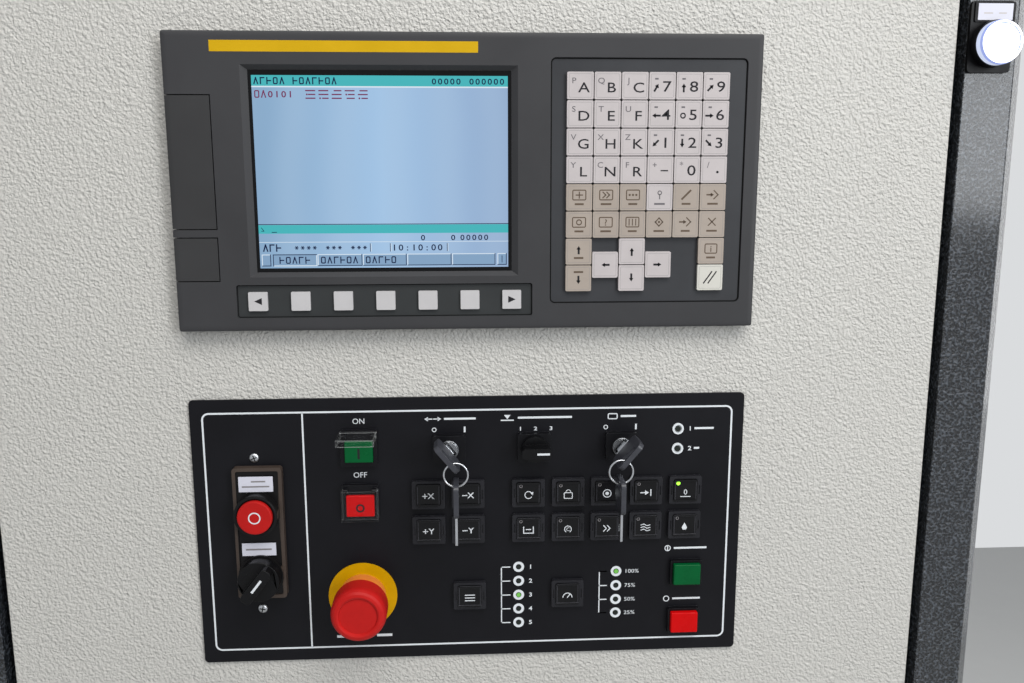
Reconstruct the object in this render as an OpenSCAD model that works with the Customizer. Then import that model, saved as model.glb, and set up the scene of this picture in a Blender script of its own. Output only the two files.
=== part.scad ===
// Operator control cabinet of a CNC punch press.
// A floor-standing cabinet with a hinged front door. The door carries a
// display and keypad unit, an operator panel and a two-switch station.
// Millimetres, +Z up, the front faces -Y, the viewer's right is +X.
// The origin is on the floor under the middle of the whole cabinet.

/* [Cabinet] */
// Overall width
cab_w = 790; // [740:1:900]
// Overall height from the floor
cab_h = 1600; // [1560:1:1800]
// Depth from the door front to the back
cab_d = 400; // [330:1:600]
// Width of each front post and rail
post_w = 47; // [44:1:70]
// Bevel of the outer frame corners
post_bevel = 11; // [4:1:16]
// Depth of the front frame
frame_d = 60; // [50:1:90]
// Sheet thickness of frame and shell
sheet_t = 2; // [1.5:0.1:3]
// Height of the plinth's top edge
plinth_h = 100; // [80:1:150]
// Inset of the plinth from the cabinet sides
plinth_in = 12; // [5:1:30]
// Height of the plinth's bottom edge on its feet
foot_h = 20; // [18:1:35]
// Radius of the levelling feet
foot_r = 25; // [18:1:35]

/* [Door] */
// Gap round the door
door_gap = 7; // [6:0.5:10]
// Depth of the folded door pan
door_depth = 22; // [18:0.5:22]
// Thickness of the door sheet
door_t = 1.5; // [1:0.1:2]
// Inset of the gasket from the door edge
seal_in = 45; // [43:1:60]
// Width of the gasket
seal_w = 10; // [6:1:14]
// Thickness of the gasket
seal_t = 8; // [5:0.5:9]
// Distance of the frame lip behind the door front
lip_y = 28.5; // [28.5:0.5:34]

/* [Hinges and locks] */
// Hinge axis in from the door edge and behind the front
hinge_in = 12; // [11:0.5:12]
// Height of one hinge
hinge_h = 50; // [40:1:80]
// Radius of the hinge pin
pin_r = 3; // [2:0.1:3.5]
// Radius of the hinge barrel
barrel_r = 6; // [5:0.1:6.5]
// Radial running fit of pins and shafts
fit = 0.05; // [0.02:0.01:0.08]
// Radius of the lock barrel
lock_r = 8; // [6:0.1:9]
// Distance of the lock axis from the door edge
lock_in = 71; // [69:1:85]
// Length of the lock cam
cam_len = 38; // [34:1:46]

/* [Display and keypad unit] */
// Height of the unit's top edge above the floor
panel_top = 1420; // [1380:1:1440]
// Width of the display unit
disp_w = 402; // [396:1:420]
// Height of the display unit
disp_h = 200; // [198:1:210]
// How far the unit stands out of the door
disp_t = 12; // [11:0.5:14]
// Width of the sloping margin round the unit's front
disp_margin = 4.2; // [3:0.1:5]
// Rounding of the unit's front edge
disp_round = 1.2; // [0.8:0.1:1.6]
// Depth of the case behind the door
case_d = 62; // [40:1:120]
// Width of the screen window
win_w = 175.4; // [160:0.1:178]
// Height of the screen window
win_h = 134.8; // [120:0.1:137]
// Width of the card covers
flap_w = 29.7; // [26:0.1:31]
// Clearance round the card covers
flap_gap = 0.7; // [0.5:0.05:1]
// Width of a keypad key
kp_key = 18; // [15:0.1:18.1]
// Pitch of the keypad keys
kp_pitch = 18.6; // [18.3:0.05:18.8]
// Width of a soft key
soft_key = 13.1; // [12:0.1:15]
// Pitch of the soft keys
soft_pitch = 29.2; // [28.5:0.1:29.5]

/* [Operator panel] */
// Width of the operator plate
plate_w = 402; // [396:1:420]
// Height of the operator plate
plate_h = 202; // [198:1:215]
// Thickness of the operator plate
plate_t = 2; // [1.5:0.1:3]
// Gap between the display unit and the plate
plate_gap = 51; // [30:1:70]
// Width of a framed push key
fkey_w = 17.6; // [16:0.1:18.5]
// Height of a framed push key
fkey_h = 16.8; // [15:0.1:17.2]
// Clearance round a cap in its frame
cap_gap = 0.3; // [0.2:0.05:0.5]
// Stroke of a framed push key
fkey_stroke = 1.5; // [1:0.1:2]
// Stroke of the rectangular buttons
btn_stroke = 2.5; // [1.5:0.1:2.6]
// Width of the switch bases
base_w = 23.4; // [21:0.1:25]
// Height of the switch bases above the plate
base_t = 6; // [5:0.5:7]
// Radius of the selector knob skirt
sel_r = 9.6; // [8:0.1:11]
// Length of the selector lever
sel_len = 21; // [18:0.5:24]

/* [Flip covers] */
// Width of a clear flip cover
hood_w = 26.4; // [25:0.1:27.5]
// Length of a flip cover from its pivot
hood_len = 22.2; // [21:0.1:23]
// Wall of a flip cover
hood_t = 1; // [0.8:0.1:1.2]
// Radius of the small hinge pins
small_pin_r = 1; // [0.8:0.05:1.1]

/* [Emergency stop] */
// Radius of the yellow disc
disc_r = 25.4; // [24:0.1:27]
// Radius of the mushroom head
head_r = 20; // [17:0.1:21]
// Radius of the stem
stem_r = 8; // [6:0.1:9]
// Height of the head's top above the door
head_top = 38; // [36:0.5:42]

/* [Station] */
// Width of the station frame
stat_w = 35.3; // [35:0.1:37]
// Height of the station frame
stat_h = 99.7; // [96:0.1:104]
// Height of the station frame above the door
stat_t = 8; // [6:0.5:9]
// Radius of the round stop button
stop_r = 12.5; // [10:0.1:13]
// Radius of the knob skirt
knob_r = 15; // [12:0.1:16]

/* [Keys] */
// Width of the key bow
bow_w = 24; // [22:0.5:26]
// Length of the key bow
bow_len = 24; // [22:0.5:26]
// Thickness of the key bow
bow_t = 3.6; // [3:0.1:3.8]
// Distance of the ring plane from the door
ring_h = 35; // [34:0.5:38]
// Mean radius of the key ring
ring_r = 8.4; // [8.3:0.05:9.5]
// Radius of the key ring wire
wire_r = 0.7; // [0.5:0.05:0.8]
// Length of the spare key's blade
blade_len = 21; // [16:0.5:26]

/* [Pilot lamp] */
// Radius of the lamp lens
lens_r = 14.9; // [12:0.1:15.5]
// Height of the lens above the post
lens_top = 16; // [14:0.5:24]

/* [Hidden] */
$fn = 40;

// colours
c_post = [0.18, 0.21, 0.24];
c_door = [0.77, 0.76, 0.73];
c_dark = [0.13, 0.13, 0.14];
c_bezel = [0.27, 0.27, 0.27];
c_steel = [0.70, 0.71, 0.72];
c_key = [0.84, 0.81, 0.81];
c_tan = [0.74, 0.69, 0.62];
c_red = [0.82, 0.14, 0.12];
c_green = [0.05, 0.40, 0.22];
c_clear = [0.85, 0.90, 0.92];

// derived sizes
spare_reach = ring_h + bow_w/2;
front_reach = max(spare_reach, head_top);
door_y = -(cab_d - front_reach)/2;
back_y = door_y + cab_d;
frame_h = cab_h - plinth_h;
open_w = cab_w - 2*post_w;
open_h = frame_h - 2*post_w;
open_z = plinth_h + frame_h/2;
door_w = open_w - 2*door_gap;
door_h = open_h - 2*door_gap;
seal_y = door_t + seal_t + 0.5;
hinge_x = -door_w/2 + hinge_in;
hinge_y = door_y + hinge_in;
hinge_zs = [open_z - door_h/2 + 110, open_z - 60, open_z + door_h/2 - 110];
lock_x = door_w/2 - lock_in;
lock_zs = [open_z + door_h/2 - seal_in - 31, open_z - door_h/2 + 296];
lock_back = lip_y + sheet_t + 2;
disp_z = panel_top - disp_h/2;
plate_z = panel_top - disp_h - plate_gap - plate_h/2;

// display details, measured from the unit's centre
win_x = -58.4;
win_z = disp_h/2 - 24.6 - win_h/2;
flare_x = 4.4;
flare_z = 3.1;
glass_h = disp_t - 3;
soft_x = -58.4;
soft_z = disp_h/2 - 179.3;
soft_w = 7*soft_pitch - 0.3;
soft_h = 22.9;
kp_w = 134.7;
kp_h = 166.4;
kp_x = disp_w/2 - 10.5 - kp_w/2;
kp_z = disp_h/2 - 16 - kp_h/2;
kp_dx = 19.9 - kp_w/2;
kp_dz = kp_h/2 - 18.5;
flap_h = [87.9, 29];
flap_z = [disp_h/2 - 41.5 - flap_h[0]/2, disp_h/2 - 135.8 - flap_h[1]/2];
flap_axis_h = 3.5;
flap_axis_in = 3;

// operator panel positions, measured from the plate's centre
keysw_x = [-16.2, 109.7];
sel_x = 45.7;
switch_z = 63.2;
jog_pos = [[-31.9, 28], [-2.8, 28], [-31.9, 0.8], [-2.8, 0.8]];
fun_x = [41.6, 71, 99.9, 129.1, 158.5];
fun_z = [28, 0.8];
mode_pos = [-2.3, -51.7];
speed_pos = [71.1, -51.8];
start_pos = [161, -37.5];
hold_pos = [160, -76];
on_pos = [-81.2, 62.4];
off_pos = [-81.2, 21.5];
estop_pos = [-81.9, -50];
stat_pos = [-154.4, 2.1];
stop_pos = [-155.2, 17.9];
knob_pos = [-154.5, -30];
mode_led_x = 34.5;
mode_led_z = [-30.8, -42, -53.2, -64.3, -75.5];
speed_led_x = 108.3;
speed_led_z = [-36.2, -47.6, -58.8, -69.7];
ind_pos = [[152.2, 74.5], [152.2, 59.4]];
fframe_w = 24;
fframe_h = 21;
fframe_top = 5.5;
fkey_top = 6.6;
bframe_top = 6;
btn_w = 20.3;
btn_h = 16;
on_frame_w = 26;
on_frame_h = 26.5;
on_frame_dz = 2.2;
hood_axis_h = 8;
hood_axis_dz = on_frame_dz + on_frame_h/2 - 3.75;
lug_w = 3;
base_top = plate_t + base_t;
rotor_r = 6;
spigot_r = 5;
collar_top = 12;
head_low = 17.5;
stat_collar_top = 15;
lamp_x = cab_w/2 - 30.2;
lamp_z = panel_top - 4.7;

// key and ring geometry
slot_half = 7;
slot_h = 5;
slot_in = 5;
strip_mid = (slot_half + bow_w/2)/2;
strip_diag = sqrt(pow((bow_w/2 - slot_half)/2, 2) + pow(bow_t/2, 2));
ring_drop = ring_r - wire_r - strip_diag - 0.2;
key_tilt = 40;
bow_shift = 1.8;
spare_dz = slot_h/2 - wire_r - 0.6;

// Places children on the door's front, h in front of it, facing the viewer.
module face(x, z, h = 0) {
  translate([x, door_y - h, z]) rotate([90, 0, 0]) children();
}

module on_plate(p, h = 0) {
  face(p[0], plate_z + p[1], h) children();
}

module rrect(w, h, r) {
  square([w - 2*r, h], center = true);
  square([w, h - 2*r], center = true);
  for (sx = [-1, 1], sy = [-1, 1]) {
    translate([sx*(w/2 - r), sy*(h/2 - r)]) circle(r);
  }
}

module rblock(w, h, r, t) {
  linear_extrude(t) rrect(w, h, r);
}

module bevel_profile(w, d, c) {
  polygon([[-w/2, 0], [w/2, 0], [w/2, d - c], [w/2 - c, d], [-w/2 + c, d], [-w/2, d - c]]);
}

// Plate with its four front edges bevelled, back on z = 0.
module bevel_block(w, h, d, c) {
  intersection() {
    rotate([90, 0, 0]) linear_extrude(h, center = true) bevel_profile(w, d, c);
    rotate([90, 0, 90]) linear_extrude(w, center = true) bevel_profile(h, d, c);
  }
}

module soft_profile(w, d, m, r) {
  e = d - 0.7;
  polygon([[-w/2, 0], [w/2, 0], [w/2, e - r], [w/2 - 0.3*r, e - 0.3*r], [w/2 - r, e], [w/2 - m, d],
           [-w/2 + m, d], [-w/2 + r, e], [-w/2 + 0.3*r, e - 0.3*r], [-w/2, e - r]]);
}

// Moulded plate with round corners, a rounded front edge and a gently sloping margin.
module soft_block(w, h, d, m, r) {
  intersection() {
    rotate([90, 0, 0]) linear_extrude(h, center = true) soft_profile(w, d, m, r);
    rotate([90, 0, 90]) linear_extrude(w, center = true) soft_profile(h, d, m, r);
    rblock(w, h, 2.4, d);
  }
}

module flare_profile(w, d, c) {
  polygon([[-w/2, 0], [w/2, 0], [w/2 + c, d], [-w/2 - c, d]]);
}

// Opening that widens toward the viewer.
module flare(w, h, d, cx, cz) {
  intersection() {
    rotate([90, 0, 0]) linear_extrude(h + 2*cz, center = true) flare_profile(w, d, cx);
    rotate([90, 0, 90]) linear_extrude(w + 2*cx, center = true) flare_profile(h, d, cz);
  }
}

module ring2(w, h, t) {
  difference() {
    square([w, h], center = true);
    square([w - 2*t, h - 2*t], center = true);
  }
}

// Rectangular ring round the door opening, from depth y0 to y1.
module door_ring(w, h, t, y0, y1) {
  face(0, open_z, -y1) linear_extrude(y1 - y0) ring2(w, h, t);
}

// Cabinet

module front_frame() {
  lip_in = door_w/2 - seal_in + sheet_t/2;
  color(c_post) {
    difference() {
      face(0, open_z, -frame_d) bevel_block(cab_w, frame_h, frame_d, post_bevel);
      face(0, open_z, -frame_d - 1)
        bevel_block(cab_w - 2*sheet_t, frame_h - 2*sheet_t, frame_d + 1 - sheet_t,
                    post_bevel - 0.586*sheet_t);
      face(0, open_z, -frame_d) linear_extrude(frame_d + 1) square([open_w, open_h], center = true);
    }
    door_ring(open_w + 2*sheet_t, open_h + 2*sheet_t, sheet_t, 0, lip_y + sheet_t);
    door_ring(open_w + 2*sheet_t, open_h + 2*sheet_t,
              open_w/2 + sheet_t - lip_in + sheet_t, lip_y, lip_y + sheet_t);
    face(0, open_z, -lip_y - sheet_t) linear_extrude(lip_y + sheet_t - seal_y)
      ring2(2*lip_in, door_h - 2*seal_in + sheet_t, sheet_t);
  }
}

module louvre_row(x, z) {
  n = floor((cab_d - frame_d - 120)/18);
  for (i = [0 : n]) {
    translate([x, door_y + frame_d + 60 + i*18, z]) cube([4*sheet_t, 6, 90], center = true);
  }
}

module cabinet_shell() {
  d = cab_d - frame_d;
  color(c_post) difference() {
    translate([-cab_w/2, door_y + frame_d, plinth_h]) cube([cab_w, d, frame_h]);
    translate([-cab_w/2 + sheet_t, door_y + frame_d - 1, plinth_h + sheet_t])
      cube([cab_w - 2*sheet_t, d + 1 - sheet_t, frame_h - 2*sheet_t]);
    for (sx = [-1, 1]) {
      louvre_row(sx*cab_w/2, plinth_h + 160);
      louvre_row(sx*cab_w/2, cab_h - 130);
    }
    translate([0, door_y + frame_d + d/2, plinth_h]) cube([cab_w/2, 120, 4*sheet_t], center = true);
  }
}

module plinth() {
  w = cab_w - 2*plinth_in;
  d = cab_d - 2*plinth_in;
  color(c_dark) difference() {
    union() {
      difference() {
        translate([-w/2, door_y + plinth_in, foot_h]) cube([w, d, plinth_h - foot_h]);
        translate([-w/2 + 3, door_y + plinth_in + 3, foot_h - 1]) cube([w - 6, d - 6, plinth_h]);
      }
      for (p = foot_points()) translate([p[0], p[1], foot_h + 2.5]) cube([90, 90, 5], center = true);
    }
    for (p = foot_points()) translate([p[0], p[1], 0]) cylinder(r = foot_stem_r() + 0.3, h = plinth_h);
  }
}

function foot_stem_r() = foot_r*0.32;
function foot_points() = [for (sx = [-1, 1], y = [door_y + plinth_in + 45, back_y - plinth_in - 45])
  [sx*(cab_w/2 - plinth_in - 45), y]];

module levelling_feet() {
  color(c_steel) for (p = foot_points()) translate([p[0], p[1], 0]) {
    cylinder(r = foot_r, h = 6);
    translate([0, 0, 6]) cylinder(r1 = foot_r*0.8, r2 = foot_r*0.45, h = 3);
    cylinder(r = foot_stem_r(), h = foot_h + 32);
    translate([0, 0, foot_h - 8]) cylinder(r = foot_r*0.56, h = 8, $fn = 6);
    translate([0, 0, foot_h + 5]) cylinder(r = foot_r*0.56, h = 8, $fn = 6);
  }
}

mount_in_x = 65;
mount_in_z = 80;
mount_gap = 50;
mount_w = cab_w - 2*mount_in_x;
mount_h = frame_h - 2*mount_in_z;
mount_y = back_y - mount_gap;

module mounting_plate() {
  color(c_steel) {
    translate([-mount_w/2, mount_y, open_z - mount_h/2]) cube([mount_w, 3, mount_h]);
    for (sx = [-1, 1], sz = [-1, 1]) {
      translate([sx*(mount_w/2 - 20), mount_y + 3, open_z + sz*(mount_h/2 - 20)])
        rotate([-90, 0, 0]) cylinder(r = 5, h = back_y - sheet_t - mount_y - 3);
    }
  }
}

// Drive unit: a closed housing with blind vent slots and a finned heat sink on its side.
module drive_unit() {
  w = 240;
  h = 360;
  d = 150;
  color([0.62, 0.63, 0.62]) translate([-mount_w/2 + 60, mount_y - d, open_z - 60]) {
    difference() {
      cube([w, d, h]);
      for (i = [0 : 9], z = [-1, h - 3]) translate([20 + i*21, 30, z]) cube([8, d - 60, 4]);
      translate([20, -1, h - 90]) cube([w - 40, 3, 60]);
    }
    for (i = [0 : 7]) translate([w - 1, 10 + i*18, 20]) cube([23, 4, h - 40]);
  }
}

// Terminals on a rail between two closed wiring ducts.
module terminal_strip() {
  n = floor((mount_w - 200)/26);
  z0 = open_z - mount_h/2 + 180;
  color([0.55, 0.56, 0.54]) translate([-n*13, mount_y, z0]) {
    translate([-12, -8, 0]) cube([n*26 + 24, 8, 35]);
    for (i = [0 : n - 1]) translate([i*26 + 1, -46, -8]) {
      difference() {
        cube([24, 38, 50]);
        for (z = [9, 41]) translate([12, -1, z]) rotate([-90, 0, 0]) cylinder(r = 4, h = 4, $fn = 16);
      }
    }
  }
  color([0.48, 0.49, 0.48]) for (dz = [-110, 110]) {
    translate([-mount_w/2 + 30, mount_y - 60, z0 + dz]) difference() {
      cube([mount_w - 60, 60, 50]);
      for (i = [0 : 9]) translate([20 + i*(mount_w - 90)/10, -1, 12]) cube([10, 3, 26]);
    }
  }
}

module hinge_frame_leaves() {
  arm = lip_y - hinge_in;
  color(c_steel) for (z = hinge_zs) translate([hinge_x, hinge_y, z - hinge_h/2]) {
    cylinder(r = barrel_r, h = hinge_h/2 - 0.2);
    cylinder(r = pin_r, h = hinge_h - 1);
    translate([-barrel_r/2, 0, 0]) cube([barrel_r, arm, hinge_h/2 - 0.2]);
    translate([-barrel_r/2, arm - 3, 0]) cube([25, 3, hinge_h]);
  }
}

module lamp_holder() {
  color(c_dark) {
    face(lamp_x - 1.2, lamp_z + 5) rblock(31, 48, 3, 3);
    face(lamp_x, lamp_z) difference() {
      cylinder(r = lens_r + 0.8, h = 9);
      translate([0, 0, 5]) cylinder(r = lens_r, h = 5);
    }
    face(lamp_x - 0.1, lamp_z + 21.5) rblock(28.6, 13.4, 1, 4);
  }
}

module lamp_lens() {
  color([0.75, 0.9, 1]) face(lamp_x, lamp_z) rotate_extrude() polygon([
    [0, 5], [lens_r, 5], [lens_r, lens_top - 2.2], [lens_r - 0.3, lens_top - 0.9], [lens_r - 0.8, lens_top],
    [lens_r - 2, lens_top], [lens_r - 2.4, lens_top - 0.8], [0, lens_top - 0.8]
  ]);
}

// Door

module door_panel() {
  color(c_door) difference() {
    union() {
      difference() {
        face(0, open_z, -door_depth) linear_extrude(door_depth) square([door_w, door_h], center = true);
        face(0, open_z, -door_depth - 1) linear_extrude(door_depth + 1 - door_t)
          square([door_w - 2*door_t, door_h - 2*door_t], center = true);
      }
      for (z = lock_zs) face(lock_x, z, -lip_y) cylinder(r = lock_r + 5, h = lip_y + 3);
    }
    face(0, disp_z, -door_t - 1) linear_extrude(door_t + 2) square([disp_w - 28, disp_h - 28], center = true);
    face(0, plate_z, -door_t - 1) linear_extrude(door_t + 2) square([plate_w - 26, plate_h - 26], center = true);
    for (z = lock_zs) face(lock_x, z, -lip_y - 1) cylinder(r = lock_r + fit, h = lip_y + 5);
    for (z = hinge_zs) translate([-door_w/2 - 1, door_y + door_t, z - hinge_h/2 - 3])
      cube([door_t + 2, door_depth, hinge_h + 6]);
  }
}

module door_gasket() {
  color([0.08, 0.08, 0.08])
    door_ring(door_w - 2*seal_in + seal_w, door_h - 2*seal_in + seal_w, seal_w, door_t, door_t + seal_t);
}

module hinge_door_leaves() {
  plate_y = -hinge_in + door_t;
  color(c_steel) for (z = hinge_zs) translate([hinge_x, hinge_y, z]) difference() {
    union() {
      cylinder(r = barrel_r, h = hinge_h/2);
      translate([0, plate_y, 0]) cube([barrel_r, -plate_y - 2, hinge_h/2]);
      translate([0, plate_y, -hinge_h/2]) cube([19, 2, hinge_h]);
    }
    translate([0, 0, -1]) cylinder(r = pin_r + fit, h = hinge_h);
  }
}

module door_lock(z, a = 0) {
  color(c_steel) {
    face(lock_x, z, -lock_back - 3) difference() {
      cylinder(r = lock_r, h = lock_back + 5);
      translate([0, 0, lock_back]) cylinder(r = lock_r*0.55, h = 9, $fn = 3);
    }
    face(lock_x, z, -lock_back - 3) translate([0, -cam_len/2 + lock_r/2, 0])
      rblock(2*lock_r, cam_len + lock_r, 3, 3);
  }
}

module door_lock_top() { door_lock(lock_zs[0]); }
module door_lock_bottom() { door_lock(lock_zs[1]); }

// Display and keypad unit

module flap_region(i, gap, h0) {
  translate([-disp_w/2 - 5, flap_z[i] - flap_h[i]/2 - gap, h0])
    cube([flap_w + 5 + gap, flap_h[i] + 2*gap, 2*disp_t]);
}

module display_bezel() {
  color(c_bezel) face(0, disp_z) difference() {
    soft_block(disp_w, disp_h, disp_t, disp_margin, disp_round);
    translate([win_x, win_z, -1]) linear_extrude(disp_t + 2) square([win_w, win_h], center = true);
    translate([win_x, win_z, glass_h]) flare(win_w, win_h, disp_t - glass_h + 0.01, flare_x, flare_z);
    translate([soft_x, soft_z, disp_t - 2.5]) rblock(soft_w, soft_h, 1.5, 5);
    translate([kp_x, kp_z, disp_t - 2]) rblock(kp_w, kp_h, 3.6, 5);
    for (i = [0, 1]) {
      flap_region(i, flap_gap, 2.2);
      translate([-disp_w/2 - 1, flap_z[i] - flap_h[i]/2 - flap_gap, -1])
        cube([10, flap_h[i] + 2*flap_gap, disp_t]);
      translate([-disp_w/2 + 13, flap_z[i] - flap_h[i]/2 + 4, -1]) cube([6, flap_h[i] - 8, disp_t]);
      for (s = [-1, 1]) translate([-disp_w/2 + flap_axis_in, flap_z[i] + s*(flap_h[i]/2 + 1), flap_axis_h])
        rotate([90, 0, 0]) cylinder(r = small_pin_r + fit, h = 3.2, center = true, $fn = 24);
    }
  }
}

module card_cover(i) {
  color([0.24, 0.24, 0.24]) face(0, disp_z) {
    difference() {
      intersection() {
        soft_block(disp_w, disp_h, disp_t, disp_margin, disp_round);
        flap_region(i, 0, flap_axis_h - 1.3);
      }
      translate([-disp_w/2 + 2, flap_z[i] - flap_h[i]/2 + 1.5, -1])
        cube([flap_w - 3.5, flap_h[i] - 3, disp_t - 1]);
      translate([-disp_w/2 + 6, flap_z[i] - flap_h[i]/2 - 1, -1]) cube([flap_w, flap_h[i] + 2, disp_t - 3]);
    }
    for (s = [-1, 1]) translate([-disp_w/2 + flap_axis_in, flap_z[i] + s*(flap_h[i]/2), flap_axis_h])
      rotate([90, 0, 0]) cylinder(r = small_pin_r, h = 4, center = true, $fn = 24);
    for (s = [-1, 1]) translate([-disp_w/2 + 1.2, flap_z[i] + s*(flap_h[i]/2 - 0.8) - 0.8, flap_axis_h - 1.3])
      cube([4.4, 1.6, 6]);
  }
}

module card_cover_upper() { card_cover(0); }
module card_cover_lower() { card_cover(1); }

module lcd_screen() {
  color([0.45, 0.65, 0.85]) face(win_x, disp_z + win_z, glass_h - 3)
    linear_extrude(3) square([win_w, win_h], center = true);
}

module display_rear_case() {
  color(c_steel) {
    face(0, disp_z, -case_d) linear_extrude(case_d) difference() {
      square([disp_w - 30, disp_h - 30], center = true);
      translate([30, 0]) square([disp_w - 96, disp_h - 36], center = true);
    }
    face(0, disp_z, -case_d) rblock(disp_w - 30, disp_h - 30, 2, 3);
    face(disp_w/4, disp_z - 20, -case_d - 14) rblock(90, 60, 3, 14);
  }
}

function kp_cells() = concat(
  [for (j = [0 : 5], i = [0 : 5]) [i, j]],
  [[0, 6], [0, 7], [2, 6], [2, 7], [1, 6.5], [3, 6.5], [5, 6], [5, 7]]
);

module keypad() {
  color(c_key) face(kp_x, disp_z + kp_z, disp_t - 2) {
    rblock(kp_w, kp_h, 3.6, 0.8);
    for (c = kp_cells()) translate([kp_dx + c[0]*kp_pitch, kp_dz - c[1]*kp_pitch, 0])
      rblock(kp_key, kp_key, 1, 3.6, $fn = 16);
  }
}

module softkey_strip() {
  color(c_dark) face(soft_x, disp_z + soft_z, disp_t - 2.5) {
    rblock(soft_w, soft_h, 1.5, 0.7);
    for (i = [-3 : 3]) translate([i*soft_pitch, 0, 0]) rblock(soft_key, soft_key, 0.8, 2.6, $fn = 16);
  }
}

// Operator panel

function fun_pos() = [for (z = fun_z, x = fun_x) [x, z]];
function framed_keys() = concat(jog_pos, fun_pos(), [mode_pos, speed_pos]);

module key_frame(p) {
  on_plate(p, plate_t - 0.01) difference() {
    rblock(fframe_w, fframe_h, 1.2, fframe_top - plate_t, $fn = 16);
    translate([0, 0, -1]) linear_extrude(fframe_top)
      rrect(fkey_w + 2*cap_gap, fkey_h + 2*cap_gap, 1.8, $fn = 16);
    for (s = [-1, 1]) translate([s*(fframe_w/2 - 1.6), 0, fframe_top - plate_t])
      cube([1, 7, 2], center = true);
  }
}

module button_frame(p, w, h, dz = 0) {
  on_plate(p, plate_t - 0.01) difference() {
    translate([0, dz, 0]) rblock(w, h, 1, bframe_top - plate_t, $fn = 16);
    translate([0, 0, -1]) linear_extrude(bframe_top)
      square([btn_w + 2*cap_gap, btn_h + 2*cap_gap], center = true);
  }
}

module hood_lugs(p) {
  for (s = [-1, 1]) on_plate([p[0] + s*(hood_w/2 - hood_t - 0.3 - lug_w/2), p[1] + hood_axis_dz]) {
    difference() {
      rotate([0, 90, 0]) linear_extrude(lug_w, center = true) {
        translate([-hood_axis_h, 0]) circle(1.8, $fn = 24);
        translate([-hood_axis_h, -1.8]) square([hood_axis_h - plate_t, 3.6]);
      }
      translate([0, 0, hood_axis_h]) rotate([0, 90, 0])
        cylinder(r = small_pin_r + fit, h = 8, center = true, $fn = 24);
    }
  }
}

module operator_plate() {
  color(c_dark) {
    difference() {
      face(0, plate_z) rblock(plate_w, plate_h, 3, plate_t);
      on_plate(stat_pos, -1) linear_extrude(plate_t + 2) square([stat_w - 6, stat_h - 6], center = true);
    }
    for (p = framed_keys()) key_frame(p);
    button_frame(start_pos, 24, 20);
    button_frame(hold_pos, 24, 20);
    button_frame(on_pos, on_frame_w, on_frame_h, on_frame_dz);
    button_frame(off_pos, on_frame_w, on_frame_h, on_frame_dz);
    hood_lugs(on_pos);
    hood_lugs(off_pos);
    for (x = keysw_x) on_plate([x, switch_z], plate_t - 0.01) difference() {
      rblock(base_w, base_w*0.86, 1.5, base_t);
      translate([0, 0, -1]) cylinder(r = rotor_r + fit, h = base_t + 2);
    }
    on_plate([sel_x, switch_z], plate_t - 0.01) difference() {
      rblock(base_w + 0.6, base_w*0.9, 1.5, base_t);
      translate([0, 0, -1]) cylinder(r = spigot_r + fit, h = base_t + 2);
    }
  }
}

module framed_key(i) {
  p = framed_keys()[i];
  low = plate_t + fkey_stroke + 0.3;
  color(c_key) on_plate(p, low) difference() {
    linear_extrude(fkey_top - low) rrect(fkey_w, fkey_h, 1.5, $fn = 16);
    translate([0, 0, fkey_top - low + 59.1]) rotate([90, 0, 0])
      cylinder(r = 60, h = fkey_h - 3, center = true, $fn = 120);
  }
}

module jog_key_a() { framed_key(0); }
module jog_key_b() { framed_key(1); }
module jog_key_c() { framed_key(2); }
module jog_key_d() { framed_key(3); }
module function_key_a() { framed_key(4); }
module function_key_b() { framed_key(5); }
module function_key_c() { framed_key(6); }
module function_key_d() { framed_key(7); }
module function_key_e() { framed_key(8); }
module function_key_f() { framed_key(9); }
module function_key_g() { framed_key(10); }
module function_key_h() { framed_key(11); }
module function_key_i() { framed_key(12); }
module function_key_j() { framed_key(13); }
module mode_key() { framed_key(14); }
module speed_key() { framed_key(15); }

module push_cap(p, top, c) {
  low = plate_t + btn_stroke + 0.3;
  color(c) on_plate(p, low) linear_extrude(top - low) square([btn_w, btn_h], center = true);
}

module on_button() { push_cap(on_pos, 8, c_green); }
module off_button() { push_cap(off_pos, 8, c_red); }
module start_button() { push_cap(start_pos, 9.5, c_green); }
module hold_button() { push_cap(hold_pos, 9.5, c_red); }

// Clear hood drawn closed, with its pivot axis on the origin along X.
module hood() {
  for (s = [-1, 1]) translate([s*(hood_w/2 - hood_t/2), 0, 0]) {
    rotate([90, 0, 90]) linear_extrude(hood_t, center = true) {
      circle(1.8, $fn = 24);
      translate([-hood_len, -1.5]) square([hood_len, 5]);
    }
    translate([-s*hood_t, 0, 0]) rotate([0, 90, 0])
      cylinder(r = small_pin_r, h = 3*hood_t, center = true, $fn = 24);
  }
  translate([0, -hood_len/2 + 0.2, 3]) cube([hood_w, hood_len + 0.4, 1], center = true);
  translate([0, -hood_len + hood_t/2, 1]) cube([hood_w, hood_t, 5], center = true);
}

module on_cover() {
  color(c_clear) on_plate([on_pos[0], on_pos[1] + hood_axis_dz], hood_axis_h) rotate([-90, 0, 0]) hood();
}

module off_cover() {
  color(c_clear) on_plate([off_pos[0], off_pos[1] + hood_axis_dz], hood_axis_h) hood();
}

module indicator_leds() {
  color([0.7, 0.9, 0.6]) {
    for (p = ind_pos) on_plate(p, plate_t) difference() {
      cylinder(r = 4.2, h = 1, $fn = 32);
      translate([0, 0, 0.5]) cylinder(r = 2.8, h = 2, $fn = 24);
    }
    for (p = ind_pos) on_plate(p, plate_t) cylinder(r = 2, h = 1.6, $fn = 24);
    for (z = mode_led_z) on_plate([mode_led_x, z], plate_t) cylinder(r = 1.6, h = 0.6, $fn = 16);
    for (z = speed_led_z) on_plate([speed_led_x, z], plate_t) cylinder(r = 1.6, h = 0.6, $fn = 16);
  }
}

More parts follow.
